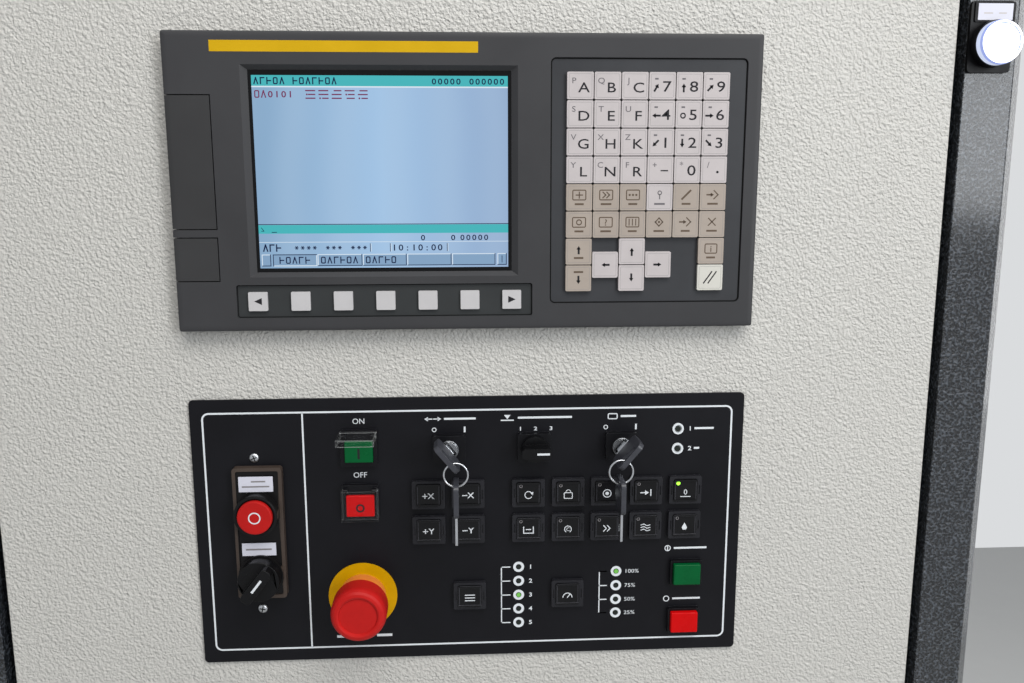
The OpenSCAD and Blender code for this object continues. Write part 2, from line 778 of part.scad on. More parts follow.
// Keys. The slot's centre is on the origin, the bow's end points to +Z,
// the width runs along Y and the thickness along X.
module key_body(blade) {
  rotate([90, 0, 90]) {
    linear_extrude(bow_t, center = true) difference() {
      translate([0, slot_in - bow_len/2]) rrect(bow_w, bow_len, 4);
      rrect(2*slot_half, slot_h, 1.5, $fn = 16);
    }
    linear_extrude(bow_t*0.5, center = true) translate([-4 - bow_shift, slot_in - bow_len - blade])
      square([8, blade + 4]);
  }
}

module key_switch(i, s) {
  blade = ring_h + slot_in - bow_len - base_top;
  color(c_steel) on_plate([keysw_x[i], switch_z], plate_t + 0.3) cylinder(r = rotor_r, h = base_t + 2);
  color(c_dark) on_plate([keysw_x[i], switch_z], ring_h) rotate([0, 0, s*key_tilt])
    translate([0, bow_shift, 0]) key_body(blade);
}

function ring_x(i, s) = keysw_x[i] + s*(strip_mid - bow_shift)*sin(key_tilt);
function ring_z() = plate_z + switch_z - (strip_mid - bow_shift)*cos(key_tilt) - ring_drop;

module key_ring(i, s) {
  color(c_steel) face(ring_x(i, s), ring_z(), ring_h) rotate_extrude($fn = 48)
    translate([ring_r, 0]) circle(wire_r, $fn = 16);
}

module spare_key(i, s) {
  color(c_dark) translate([ring_x(i, s), door_y - ring_h, ring_z() - ring_r - spare_dz])
    key_body(blade_len);
}

module key_switch_left() { key_switch(0, 1); }
module key_switch_right() { key_switch(1, -1); }
module key_ring_left() { key_ring(0, 1); }
module key_ring_right() { key_ring(1, -1); }
module spare_key_left() { spare_key(0, 1); }
module spare_key_right() { spare_key(1, -1); }

module selector_knob() {
  color(c_dark) on_plate([sel_x, switch_z]) {
    translate([0, 0, plate_t + 0.5]) cylinder(r = spigot_r, h = base_t);
    translate([0, 0, base_top + 0.3]) cylinder(r = sel_r, h = 4.5);
    translate([0.5, 0, base_top + 0.3]) rblock(sel_len, 7.5, 2.5, 15.5);
  }
}

// Emergency stop

module estop_collar() {
  color([0.80, 0.63, 0.08]) on_plate(estop_pos, plate_t) difference() {
    union() {
      cylinder(r = disc_r, h = 1.2, $fn = 64);
      cylinder(r = disc_r*0.68, h = 3, $fn = 64);
      cylinder(r = stem_r + 4, h = collar_top - plate_t);
    }
    translate([0, 0, -1]) cylinder(r = stem_r + fit, h = collar_top);
  }
}

module estop_stem() {
  color([0.85, 0.75, 0.65]) on_plate(estop_pos) {
    translate([0, 0, plate_t + 5]) cylinder(r = stem_r, h = head_low - 0.3 - plate_t - 5);
    translate([0, 0, plate_t + 5]) cylinder(r = spigot_r, h = head_top - 5 - plate_t - 5);
  }
}

module estop_head() {
  t = head_top - head_low;
  color(c_red) on_plate(estop_pos, head_low) difference() {
    rotate_extrude($fn = 72) polygon([
      [0, 0], [head_r - 2.5, 0], [head_r - 0.9, 0.6], [head_r, 1.6], [head_r, t - 6],
      [head_r - 0.4, t - 3.6], [head_r - 1.4, t - 1.6], [head_r - 3, t - 0.4], [head_r*0.76, t],
      [head_r*0.7, t - 0.5], [head_r*0.67, t - 1.6], [0, t - 1.6]
    ]);
    translate([0, 0, -1]) cylinder(r = spigot_r + fit, h = t - 3.5);
  }
}

// Two-switch station

module station_frame() {
  color([0.31, 0.27, 0.25]) {
    difference() {
      union() {
        on_plate(stat_pos, 0) rblock(stat_w - 6.4, stat_h - 6.4, 1, plate_t + 1);
        on_plate(stat_pos, plate_t) rblock(stat_w, stat_h, 2.5, stat_t - plate_t - 1);
        on_plate(stat_pos, stat_t - 1) linear_extrude(1) difference() {
          rrect(stat_w, stat_h, 2.5);
          rrect(stat_w - 5, stat_h - 5, 1.5);
        }
        on_plate(stop_pos, plate_t) cylinder(r = stop_r + 3, h = stat_collar_top - plate_t);
        on_plate(knob_pos, plate_t) cylinder(r = knob_r + 1.2, h = stat_t + 2 - plate_t);
      }
      on_plate(stop_pos, plate_t + 1.5) cylinder(r = stop_r + 0.1, h = stat_collar_top);
      on_plate(knob_pos, plate_t + 1) cylinder(r = rotor_r + fit, h = stat_collar_top);
    }
    on_plate([stat_pos[0] - 0.8, 40], stat_t - 1.01) rblock(24.5, 11.5, 0.5, 1.4);
    on_plate([stat_pos[0] - 0.8, -9.6], stat_t - 1.01) rblock(24.5, 8, 0.5, 1.4);
  }
}

module station_stop_button() {
  low = plate_t + 6;
  color(c_red) on_plate(stop_pos, low) rotate_extrude($fn = 64) polygon([
    [0, 0], [stop_r, 0], [stop_r, 18 - low - 1], [stop_r - 0.3, 18 - low - 0.3], [stop_r - 1, 18 - low], [0, 18 - low]
  ]);
}

module station_knob() {
  h0 = stat_t + 2.3;
  color(c_dark) {
    on_plate(knob_pos, plate_t + 1.5) cylinder(r = rotor_r, h = stat_t);
    on_plate(knob_pos, h0) cylinder(r = knob_r, h = 9.5, $fn = 64);
    on_plate(knob_pos, h0) rotate([0, 0, -38]) rblock(8.5, 2*knob_r - 1, 3, 18.5);
  }
}

// Contact blocks behind the plate, and the key board on four stand-offs, cut out round them.
module contact_blocks() {
  blocks = concat([for (x = concat(keysw_x, [sel_x])) [x, switch_z, 22, 26, 42]],
    [for (p = [on_pos, off_pos, start_pos, hold_pos]) [p[0], p[1], 20, 24, 42]],
    [[estop_pos[0], estop_pos[1], 30, 30, 48]],
    [for (p = [stop_pos, knob_pos]) [p[0], p[1], 26, 26, 46]]);
  color([0.35, 0.36, 0.36]) {
    for (b = blocks) on_plate([b[0], b[1]], -b[4]) rblock(b[2], b[3], 1.5, b[4], $fn = 16);
    on_plate([62, -14], -14) linear_extrude(1.6) difference() {
      square([190, 92], center = true);
      translate([start_pos[0] - 62, start_pos[1] + 14]) square([26, 30], center = true);
    }
    for (p = [[-26, 14], [150, 14], [-26, -54], [136, -54]]) on_plate(p, -13)
      cylinder(r = 3, h = 13, $fn = 20);
  }
}

cabinet_shell();
front_frame();
plinth();
levelling_feet();
mounting_plate();
drive_unit();
terminal_strip();
hinge_frame_leaves();
lamp_holder();
lamp_lens();
door_panel();
door_gasket();
hinge_door_leaves();
display_bezel();
lcd_screen();
display_rear_case();
keypad();
softkey_strip();
operator_plate();
indicator_leds();
station_frame();
estop_collar();
contact_blocks();
door_lock_top();
door_lock_bottom();
card_cover_upper();
card_cover_lower();
jog_key_a();
jog_key_b();
jog_key_c();
jog_key_d();
function_key_a();
function_key_b();
function_key_c();
function_key_d();
function_key_e();
function_key_f();
function_key_g();
function_key_h();
function_key_i();
function_key_j();
mode_key();
speed_key();
on_button();
off_button();
start_button();
hold_button();
on_cover();
off_cover();
key_switch_left();
key_switch_right();
key_ring_left();
key_ring_right();
spare_key_left();
spare_key_right();
selector_knob();
estop_stem();
estop_head();
station_stop_button();
station_knob();
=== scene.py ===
"""Looks of a punch press operator control cabinet: paints, plastics, print, screen, lamps and lights."""
import math

import bmesh
import bpy
from mathutils import Matrix, Vector


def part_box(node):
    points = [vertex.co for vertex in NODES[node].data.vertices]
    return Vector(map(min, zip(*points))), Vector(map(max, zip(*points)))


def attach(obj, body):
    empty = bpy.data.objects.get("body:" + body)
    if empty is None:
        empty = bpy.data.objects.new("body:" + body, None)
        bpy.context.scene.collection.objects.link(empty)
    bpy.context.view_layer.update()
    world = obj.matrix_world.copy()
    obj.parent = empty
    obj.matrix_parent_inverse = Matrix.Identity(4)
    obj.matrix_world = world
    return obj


MM = 0.001
DOOR_Y = -0.1765          # front face of the door

# Heights above the floor and places across the door, mm
DISPLAY_TOP = 1420.0      # top edge of the display unit
PLATE_MID = 1068.0        # centre of the operator plate
LAMP_X = 364.8            # middle of the pilot lamp
LAMP_Z = 1415.3
CAP_FOOT = 10.85          # a keypad cap's lowest face is farther in front of the door than this
CAP_PITCH = 18.6          # from one keypad cap to the next
COLUMN_X = [75.7 + CAP_PITCH * i for i in range(6)]
ROW_Z = [1385.5 - CAP_PITCH * j for j in range(8)]
CURSOR_Z = (ROW_Z[6] + ROW_Z[7]) / 2      # the cursor keys that stand between the last two rows

# Places on the operator plate: mm across the door and up from the plate's centre
SWITCH_X = {"left": -16.2, "right": 109.7}
SWITCH_Z = 63.2
BUTTON_X = -81.2
BUTTON_Z = {"on_button": 62.4, "off_button": 21.5}
STATION_X = -155.2
WINDOW_X = -155.0         # middle of the window in the station's frame
WINDOW_Z = 2.1
STOP_Z = 17.9
KNOB_X = -154.5
KNOB_Z = -30.0
CARD_FIELDS = ((40.0, 5.9), (-9.6, 4.2))  # middle and half height of the station's label fields
STATUS_X = 152.2
STATUS_Z = (74.5, 59.4)
MODE_X = 34.5
MODE_Z = (-30.8, -42.0, -53.2, -64.3, -75.5)
SPEED_X = 108.3
SPEED_Z = (-36.2, -47.6, -58.8, -69.7)
JOG_KEYS = {"a": (-31.9, 28.0), "b": (-2.8, 28.0), "c": (-31.9, 0.8), "d": (-2.8, 0.8)}
FUNCTION_X = (41.6, 71.0, 99.9, 129.1, 158.5)
FUNCTION_Z = (28.0, 0.8)
FUNCTION_KEYS = {letter: (FUNCTION_X[i % 5], FUNCTION_Z[i // 5]) for i, letter in enumerate("abcdefghij")}
CHOICE_KEYS = {"mode_key": (-2.3, -51.7), "speed_key": (71.1, -51.8)}
FRAMED_KEYS = {"jog_key_" + letter: spot for letter, spot in JOG_KEYS.items()}
FRAMED_KEYS.update({"function_key_" + letter: spot for letter, spot in FUNCTION_KEYS.items()})
FRAMED_KEYS.update(CHOICE_KEYS)
DISH_RADIUS = 60.0        # hollow of the framed keys' tops
DISH_FLOOR = 5.7          # its lowest line, in front of the door
SIGN_DROP = 1.2           # a sign's middle below its key's middle
LAMP_CORNER = 5.6         # a key's small lamp, left of its middle and above it


def tone(red, green, blue):
    """A display colour, 0 to 255, as the linear colour that a shader takes."""
    def one(value):
        value /= 255.0
        return value / 12.92 if value <= 0.04045 else ((value + 0.055) / 1.055) ** 2.4
    return (one(red), one(green), one(blue), 1.0)


def on_door(x, z, proud=0.0):
    """A point proud mm in front of the door: x mm from its middle and z mm above the floor."""
    return Vector((x * MM, DOOR_Y - proud * MM, z * MM))


def add_to_scene(thing):
    bpy.context.scene.collection.objects.link(thing)


def mesh_object(name, build, finish):
    """Makes the faces that were built into an object of one finish."""
    mesh = bpy.data.meshes.new(name)
    build.to_mesh(mesh)
    build.free()
    mesh.materials.append(finish)
    made = bpy.data.objects.new(name, mesh)
    add_to_scene(made)
    return made


# Shared surface effects


def set_inputs(node, values):
    """Sets a shader node's inputs, given by name or number."""
    for socket, value in values.items():
        node.inputs[socket].default_value = value


def add_node(tree, kind, values=None, **settings):
    """Adds a shader node: its settings first, then the values of its inputs."""
    made = tree.nodes.new("ShaderNode" + kind)
    for name, value in settings.items():
        setattr(made, name, value)
    set_inputs(made, values or {})
    return made


def join(start, output, end, entry):
    """Links an output of one node to an input of another."""
    start.id_data.links.new(start.outputs[output], end.inputs[entry])


def new_group(name, output, *inputs):
    """A group of number inputs and one output, given with its two end nodes and the place on the object."""
    group = bpy.data.node_groups.new(name, "ShaderNodeTree")
    for socket in inputs:
        group.interface.new_socket(socket, in_out="INPUT", socket_type="NodeSocketFloat")
    group.interface.new_socket(output, in_out="OUTPUT", socket_type="NodeSocketFloat")
    where = add_node(group, "TexCoord")
    return group, group.nodes.new("NodeGroupInput"), group.nodes.new("NodeGroupOutput"), where


def moulded_grain_group():
    """Fine even grain of moulded plastic."""
    group, inside, outside, where = new_group("moulded_grain", "Height", "Size")
    noise = add_node(group, "TexNoise", {"Detail": 3.0})
    join(where, "Object", noise, "Vector")
    join(inside, "Size", noise, "Scale")
    join(noise, "Fac", outside, "Height")
    return group


def paint_wrinkle_group():
    """Rounded bumps of powder coat: wavy cells blended with noise, at the size given."""
    group, inside, outside, where = new_group("paint_wrinkle", "Height", "Size", "Waviness")
    noise = add_node(group, "TexNoise", {"Detail": 2.0, "Roughness": 0.55})
    push = add_node(group, "VectorMath", {"Scale": 0.0028}, operation="SCALE")
    warped = add_node(group, "VectorMath", operation="ADD")
    cells = add_node(group, "TexVoronoi", {"Smoothness": 0.6}, feature="SMOOTH_F1")
    blend = add_node(group, "Mix", data_type="FLOAT")
    join(where, "Object", noise, "Vector")
    join(noise, "Color", push, 0)
    join(where, "Object", warped, 0)
    join(push, "Vector", warped, 1)
    join(warped, "Vector", cells, "Vector")
    join(inside, "Size", noise, "Scale")
    join(inside, "Size", cells, "Scale")
    join(inside, "Waviness", blend, "Factor")
    join(cells, "Distance", blend, "A")
    join(noise, "Fac", blend, "B")
    join(blend, "Result", outside, "Height")
    return group


def handling_group():
    """Cloudy mask of dust and finger marks."""
    group, inside, outside, where = new_group("handling_marks", "Mask", "Size")
    clouds = add_node(group, "TexNoise", {"Detail": 6.0, "Roughness": 0.65})
    steps = add_node(group, "MapRange", {"From Min": 0.36, "From Max": 0.66})
    join(where, "Object", clouds, "Vector")
    join(inside, "Size", clouds, "Scale")
    join(clouds, "Fac", steps, "Value")
    join(steps, "Result", outside, "Mask")
    return group


MOULDED_GRAIN = moulded_grain_group()
PAINT_WRINKLE = paint_wrinkle_group()
HANDLING = handling_group()


def surface(name, colour, rough, marks, mark_size=9.0, rough_spread=0.12, metal=0.0, grain=None, wrinkle=None,
            coat=0.0, coat_rough=0.1, alpha=1.0, glow=None, specular=0.5, crest_highlight=None):
    """A finish: a display colour, its roughness, how strong and how fine its handling marks are, and extras.

    Grain is a size, a strength and a depth, and wrinkle has its waviness as a fourth. Glow is a colour and a
    strength. Where a crest colour is given, the high parts of the bumps take it: a painted highlight in place
    of the light that their tops catch."""
    made = bpy.data.materials.new(name)
    made.use_nodes = True
    tree = made.node_tree
    shader = tree.nodes["Principled BSDF"]
    set_inputs(shader, {"Metallic": metal, "Coat Weight": coat, "Coat Roughness": coat_rough,
                        "Specular IOR Level": specular, "Alpha": alpha})
    cloud = add_node(tree, "Group", {"Size": mark_size}, node_tree=HANDLING)
    base = tone(*colour)[:3]
    dull = [c * (1 - marks) for c in base] + [1.0]
    clean = [min(1.0, c * (1 + marks * 0.6)) for c in base] + [1.0]
    mix = add_node(tree, "Mix", {"A": dull, "B": clean}, data_type="RGBA")
    join(cloud, "Mask", mix, "Factor")
    join(mix, "Result", shader, "Base Color")
    spread = add_node(tree, "MapRange", {"To Min": max(0.02, rough - rough_spread / 2),
                                         "To Max": min(1.0, rough + rough_spread / 2)})
    join(cloud, "Mask", spread, "Value")
    join(spread, "Result", shader, "Roughness")
    if grain or wrinkle:
        size, strength, depth = (grain or wrinkle)[:3]
        texture = add_node(tree, "Group", {"Size": size}, node_tree=MOULDED_GRAIN if grain else PAINT_WRINKLE)
        if wrinkle:
            set_inputs(texture, {"Waviness": wrinkle[3]})
        bump = add_node(tree, "Bump", {"Strength": strength, "Distance": depth})
        join(texture, "Height", bump, "Height")
        join(bump, "Normal", shader, "Normal")
    # The crest colour is a painted highlight: the tops of the bumps are lightened where light would catch
    # them.
    if crest_highlight:
        steps = add_node(tree, "MapRange", {"From Min": 0.44, "From Max": 0.70})
        lightened_tops = add_node(tree, "Mix", {"B": tone(*crest_highlight)}, data_type="RGBA")
        join(texture, "Height", steps, "Value")
        join(steps, "Result", lightened_tops, "Factor")
        join(mix, "Result", lightened_tops, "A")
        join(lightened_tops, "Result", shader, "Base Color")
    if glow:
        set_inputs(shader, {"Emission Color": tone(*glow[0]), "Emission Strength": glow[1]})
    return made


def case_plastic(name, colour, rough, mark_size, grain):
    """Dark moulded plastic of the display unit."""
    return surface(name, colour, rough, 0.08, mark_size, grain=grain, specular=0.22)


def cap_plastic(name, colour, rough, marks, strength=0.15):
    """Pale moulded plastic of the keypad's and the soft keys' caps."""
    return surface(name, colour, rough, marks, 60.0, grain=(1800.0, strength, 0.00008), specular=0.35)


def printed(name, colour, specular=0.5):
    """Printing ink."""
    return surface(name, colour, 0.5, 0.03, 90.0, specular=specular)


# Finishes

door_paint = surface("door_paint", (191, 189, 184), 0.38, 0.025, 3.0, rough_spread=0.06,
                     wrinkle=(480.0, 0.95, 0.0018, 0.50))
# The crest colour paints highlights on the tops of the wrinkle bumps.
frame_paint = surface("frame_paint", (13, 16, 21), 0.20, 0.10, 6.0,
                      wrinkle=(500.0, 1.0, 0.0018, 0.30), coat=0.5, coat_rough=0.12, specular=0.28,
                      crest_highlight=(72, 77, 84))
BEZEL_GRAIN = (1500.0, 0.25, 0.00012)
WELL_GRAIN = (1300.0, 0.2, 0.0001)
bezel_grey = case_plastic("bezel_grey", (56, 56, 58), 0.50, 14.0, BEZEL_GRAIN)
# Painted highlight: the lighter finish of the bezel's bevelled edges, where light catches them.
bezel_edge_highlight = surface("bezel_edge_highlight", (74, 74, 76), 0.44, 0.08, 14.0, specular=0.3)
flap_grey = case_plastic("flap_grey", (53, 53, 54), 0.48, 14.0, BEZEL_GRAIN)
keypad_well = case_plastic("keypad_well", (54, 55, 58), 0.42, 18.0, WELL_GRAIN)
softkey_well = case_plastic("softkey_well", (48, 50, 51), 0.42, 18.0, WELL_GRAIN)
key_white = cap_plastic("key_white", (184, 177, 177), 0.48, 0.035)
key_tan = cap_plastic("key_tan", (160, 149, 139), 0.50, 0.05)
key_cream = cap_plastic("key_cream", (200, 198, 190), 0.46, 0.03)
soft_white = cap_plastic("soft_white", (187, 185, 186), 0.45, 0.03, 0.1)
plate_black = surface("plate_black", (17, 17, 21), 0.40, 0.14, 16.0,
                      grain=(900.0, 0.12, 0.0001), specular=0.14)
key_frame = surface("key_frame", (32, 32, 36), 0.36, 0.15, 50.0, specular=0.2)
# Painted highlight: the light line round the hollowed top of each framed key.
cap_line = surface("cap_line", (66, 66, 72), 0.4, 0.06, 90.0, specular=0.2)
# Painted highlight on the operator plate's bevelled edges.
plate_edge_highlight = surface("plate_edge_highlight", (88, 88, 94), 0.34, 0.10, 30.0, specular=0.3)
frame_black = surface("frame_black", (15, 15, 18), 0.34, 0.15, 50.0, specular=0.15)
smoke_cap = surface("smoke_cap", (13, 13, 15), 0.24, 0.18, 70.0, coat=0.12, coat_rough=0.06, specular=0.15)
# Painted highlight on the bevelled edges of the framed keys' caps.
cap_edge_highlight = surface("cap_edge_highlight", (62, 62, 67), 0.40, 0.12, 70.0, specular=0.2)
knob_black = surface("knob_black", (10, 10, 12), 0.32, 0.16, 60.0,
                     grain=(1500.0, 0.15, 0.0001), specular=0.18)
station_brown = surface("station_brown", (66, 56, 50), 0.38, 0.16, 40.0,
                        grain=(1200.0, 0.2, 0.0001), specular=0.28)
station_black = surface("station_black", (18, 17, 18), 0.34, 0.14, 50.0, specular=0.16)
holder_black = surface("holder_black", (12, 12, 14), 0.40, 0.14, 50.0, specular=0.12)
lit_red = surface("lit_red", (172, 4, 6), 0.30, 0.06, 60.0, specular=0.12, glow=((230, 8, 10), 0.20))
lit_green = surface("lit_green", (1, 80, 40), 0.30, 0.08, 60.0, specular=0.12, glow=((0, 110, 50), 0.06))
head_red = surface("head_red", (180, 26, 24), 0.46, 0.10, 40.0, grain=(1200.0, 0.1, 0.0001), specular=0.16)
disc_yellow = surface("disc_yellow", (198, 148, 1), 0.46, 0.08, 40.0, specular=0.10)
stem_pale = surface("stem_pale", (214, 130, 52), 0.40, 0.08, 40.0)
polished = surface("polished", (205, 207, 210), 0.14, 0.12, 90.0, metal=1.0)
zinc = surface("zinc", (176, 178, 182), 0.34, 0.18, 30.0, metal=1.0, grain=(700.0, 0.15, 0.0001))
nickel = surface("nickel", (188, 190, 194), 0.22, 0.12, 120.0, metal=1.0)
rim_metal = surface("rim_metal", (126, 128, 132), 0.24, 0.16, 120.0, metal=1.0)
bow_black = surface("bow_black", (56, 57, 63), 0.34, 0.14, 90.0, grain=(1400.0, 0.3, 0.0001), specular=0.35)
# Black rubber of the door gasket; the same dark finish paints shade in gaps, recesses and screw heads.
rubber_and_painted_shade = surface("rubber_and_painted_shade", (16, 16, 16), 0.75, 0.15, 40.0, specular=0.12)
case_sheet = surface("case_sheet", (188, 190, 192), 0.36, 0.10, 12.0, metal=1.0)
housing_grey = surface("housing_grey", (150, 152, 150), 0.50, 0.08, 12.0, grain=(800.0, 0.2, 0.0001))
block_grey = surface("block_grey", (92, 95, 95), 0.52, 0.10, 30.0)
glass_black = surface("glass_black", (8, 9, 11), 0.10, 0.1, 20.0, coat=0.1, specular=0.12)
lamp_glass = surface("lamp_glass", (120, 130, 160), 0.12, 0.02, 90.0, coat=0.4, glow=((222, 231, 255), 0.80))
lamp_rim = surface("lamp_rim", (90, 104, 150), 0.12, 0.02, 90.0, coat=0.4, glow=((160, 176, 240), 0.75))
lamp_core = surface("lamp_core", (250, 252, 255), 0.2, 0.01, glow=((250, 252, 255), 1.6))
white_print = printed("white_print", (216, 220, 224))
grey_print = printed("grey_print", (128, 124, 126))
black_print = printed("black_print", (30, 29, 33), 0.2)
brown_print = printed("brown_print", (92, 78, 66), 0.2)
label_white = surface("label_white", (206, 206, 217), 0.42, 0.03, 60.0, specular=0.3)
strip_yellow = surface("strip_yellow", (200, 159, 12), 0.40, 0.05, 30.0, specular=0.2)
led_dark = surface("led_dark", (28, 34, 30), 0.15, 0.1, 90.0, coat=0.2, specular=0.2)
led_green = surface("led_green", (90, 150, 60), 0.2, 0.05, 90.0, glow=((110, 190, 80), 0.35))
led_bright = surface("led_bright", (150, 240, 60), 0.2, 0.02, glow=((150, 250, 60), 1.6))
clear_hood = surface("clear_hood", (60, 62, 64), 0.06, 0.02, alpha=0.05, coat=0.2)
# Painted highlight: the bright, less clear edges of the clear covers.
clear_edge_highlight = surface("clear_edge_highlight", (190, 192, 192), 0.12, 0.02, alpha=0.42, coat=0.3, specular=0.6)
pale_ink = printed("pale_ink", (186, 180, 178))
key_ink = printed("key_ink", (104, 101, 104), 0.2)


def screen_colour(name, colour):
    """A lit part of the screen: dark glass that shines in one colour."""
    return surface(name, (8, 9, 10), 0.14, 0.02, glow=(colour, 0.92), specular=0.1)


def screen_field():
    """The lit field: pale blue, palest in the middle and deepest at the left, with faint soft bands."""
    made = screen_colour("screen_field", (170, 195, 225))
    tree = made.node_tree
    where = add_node(tree, "TexCoord")
    axes = add_node(tree, "SeparateXYZ")
    across = add_node(tree, "MapRange", {"From Min": -0.144, "From Max": 0.027})
    bands = add_node(tree, "TexWave", {"Scale": 9.0, "Distortion": 2.0, "Detail": 1.0})
    ramp = add_node(tree, "ValToRGB")
    ramp.color_ramp.elements[0].color = tone(140, 174, 206)
    ramp.color_ramp.elements[1].color = tone(152, 178, 212)
    ramp.color_ramp.elements.new(0.5).color = tone(168, 202, 236)
    tint = add_node(tree, "Mix", {"B": tone(180, 206, 232)}, data_type="RGBA")
    faint = add_node(tree, "Math", {1: 0.22}, operation="MULTIPLY")
    join(where, "Object", axes, "Vector")
    join(where, "Object", bands, "Vector")
    join(axes, "X", across, "Value")
    join(across, "Result", ramp, "Fac")
    join(bands, "Fac", faint, 0)
    join(faint, "Value", tint, "Factor")
    join(ramp, "Color", tint, "A")
    join(tint, "Result", tree.nodes["Principled BSDF"], "Emission Color")
    return made


lit_field = screen_field()
lit_teal = screen_colour("lit_teal", (74, 186, 192))
lit_pale = screen_colour("lit_pale", (222, 236, 248))
lit_box = screen_colour("lit_box", (136, 168, 200))
lit_ink = screen_colour("lit_ink", (18, 34, 72))
lit_plum = screen_colour("lit_plum", (122, 44, 86))

# The fixed frame

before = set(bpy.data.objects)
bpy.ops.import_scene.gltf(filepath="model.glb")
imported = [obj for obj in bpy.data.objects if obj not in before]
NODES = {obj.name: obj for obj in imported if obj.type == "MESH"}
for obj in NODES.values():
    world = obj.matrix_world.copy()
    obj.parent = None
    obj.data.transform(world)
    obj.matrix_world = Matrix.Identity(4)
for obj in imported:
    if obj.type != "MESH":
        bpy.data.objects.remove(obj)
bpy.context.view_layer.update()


def dress(names, *finishes):
    """Gives CAD nodes their finish. The first one covers the node; more can be picked face by face."""
    for name in names:
        mesh = NODES[name].data
        mesh.materials.clear()
        for one in finishes:
            mesh.materials.append(one)
        for face in mesh.polygons:
            face.material_index = 0


def pick(name, index, test):
    """Gives the faces of a node whose centre passes the test, in mm on the door, the finish at index."""
    mesh = NODES[name].data
    for face in mesh.polygons:
        centre = face.center
        if test(centre.x / MM, centre.z / MM, (DOOR_Y - centre.y) / MM):
            face.material_index = index


def ease_edges(names, width, segments=2, angle=35, edge_highlight_slot=-1):
    """Rounds the sharp edges of CAD nodes by a width in mm, and keeps their flat faces evenly shaded. The new
    bevel faces can take the finish of another slot, which paints a highlight along the edges.
    """
    for name in names:
        piece = NODES[name]
        weld = piece.modifiers.new("close_seams", "WELD")
        weld.merge_threshold = 1e-6
        flat = piece.modifiers.new("join_flat_faces", "DECIMATE")
        flat.decimate_type = "DISSOLVE"
        flat.angle_limit = math.radians(0.5)
        flat.delimit = {"MATERIAL"}
        bevel = piece.modifiers.new("eased_edges", "BEVEL")
        bevel.width = width * MM
        bevel.segments = segments
        bevel.limit_method = "ANGLE"
        bevel.angle_limit = math.radians(angle)
        bevel.use_clamp_overlap = True
        # The bevel faces take the painted edge highlight of the slot given.
        bevel.material = edge_highlight_slot
        shade = piece.modifiers.new("even_shading", "WEIGHTED_NORMAL")
        shade.weight = 100


dress(["cabinet_shell", "front_frame", "plinth"], frame_paint)
dress(["levelling_feet", "mounting_plate", "hinge_frame_leaves", "hinge_door_leaves"], zinc)
dress(["drive_unit"], housing_grey)
dress(["terminal_strip", "contact_blocks"], block_grey)
dress(["lamp_holder"], holder_black)
dress(["lamp_lens"], lamp_glass, lamp_core, lamp_rim)
dress(["door_panel"], door_paint)
dress(["door_gasket"], rubber_and_painted_shade)
dress(["display_bezel"], bezel_grey, keypad_well, bezel_edge_highlight, softkey_well)
dress(["card_cover_upper", "card_cover_lower"], flap_grey)
dress(["lcd_screen"], glass_black)
dress(["display_rear_case"], case_sheet)
dress(["keypad"], keypad_well, key_white, key_tan, key_cream)
dress(["softkey_strip"], softkey_well, soft_white)
dress(["operator_plate"], plate_black, frame_black, plate_edge_highlight, key_frame)
dress(["indicator_leds"], led_dark, led_green, white_print)
dress(["station_frame"], station_brown, station_black, label_white)
dress(["estop_collar"], disc_yellow, stem_pale)
dress(["door_lock_top", "door_lock_bottom"], polished)
dress(FRAMED_KEYS, smoke_cap, cap_edge_highlight)
dress(["on_button", "start_button"], lit_green)
dress(["off_button", "hold_button"], lit_red)
dress(["on_cover", "off_cover"], clear_hood, clear_edge_highlight)
dress(["key_switch_left", "key_switch_right"], bow_black, polished, nickel)
dress(["key_ring_left", "key_ring_right"], nickel)
dress(["spare_key_left", "spare_key_right"], bow_black, nickel)
dress(["selector_knob", "station_knob"], knob_black)
dress(["estop_stem"], stem_pale)
dress(["estop_head", "station_stop_button"], head_red)


def cap_finish(x, z, proud):
    """The keypad's finish at a face's middle: 0 for the mat, 1 white, 2 tan and 3 cream caps."""
    column = min(range(6), key=lambda i: abs(COLUMN_X[i] - x))
    row = (ROW_Z[0] - z) / CAP_PITCH
    if proud < CAP_FOOT:
        return 0
    if row > 6.5 and column == 5:
        return 3
    if 3.5 < row < 5.5:
        return 1 if (column == 3 and row < 4.5) else 2
    if row > 5.5 and column in (0, 5):
        return 2
    return 1


def near_key(x, z):
    """Whether a point of the plate is on the frame of one of the framed keys."""
    up = z - PLATE_MID
    return any(abs(x - key_x) < 14.2 and abs(up - key_z) < 13.6 for key_x, key_z in FRAMED_KEYS.values())


def in_window(x, z):
    """Whether a point is in the window of the station's frame."""
    return abs(x - WINDOW_X) < 15.0 and abs(z - PLATE_MID - WINDOW_Z) < 47.0


def on_card(x, z):
    """Whether a point is on one of the station's two label fields."""
    up = z - PLATE_MID
    return abs(x - STATION_X) < 12.4 and any(abs(up - middle) < half for middle, half in CARD_FIELDS)


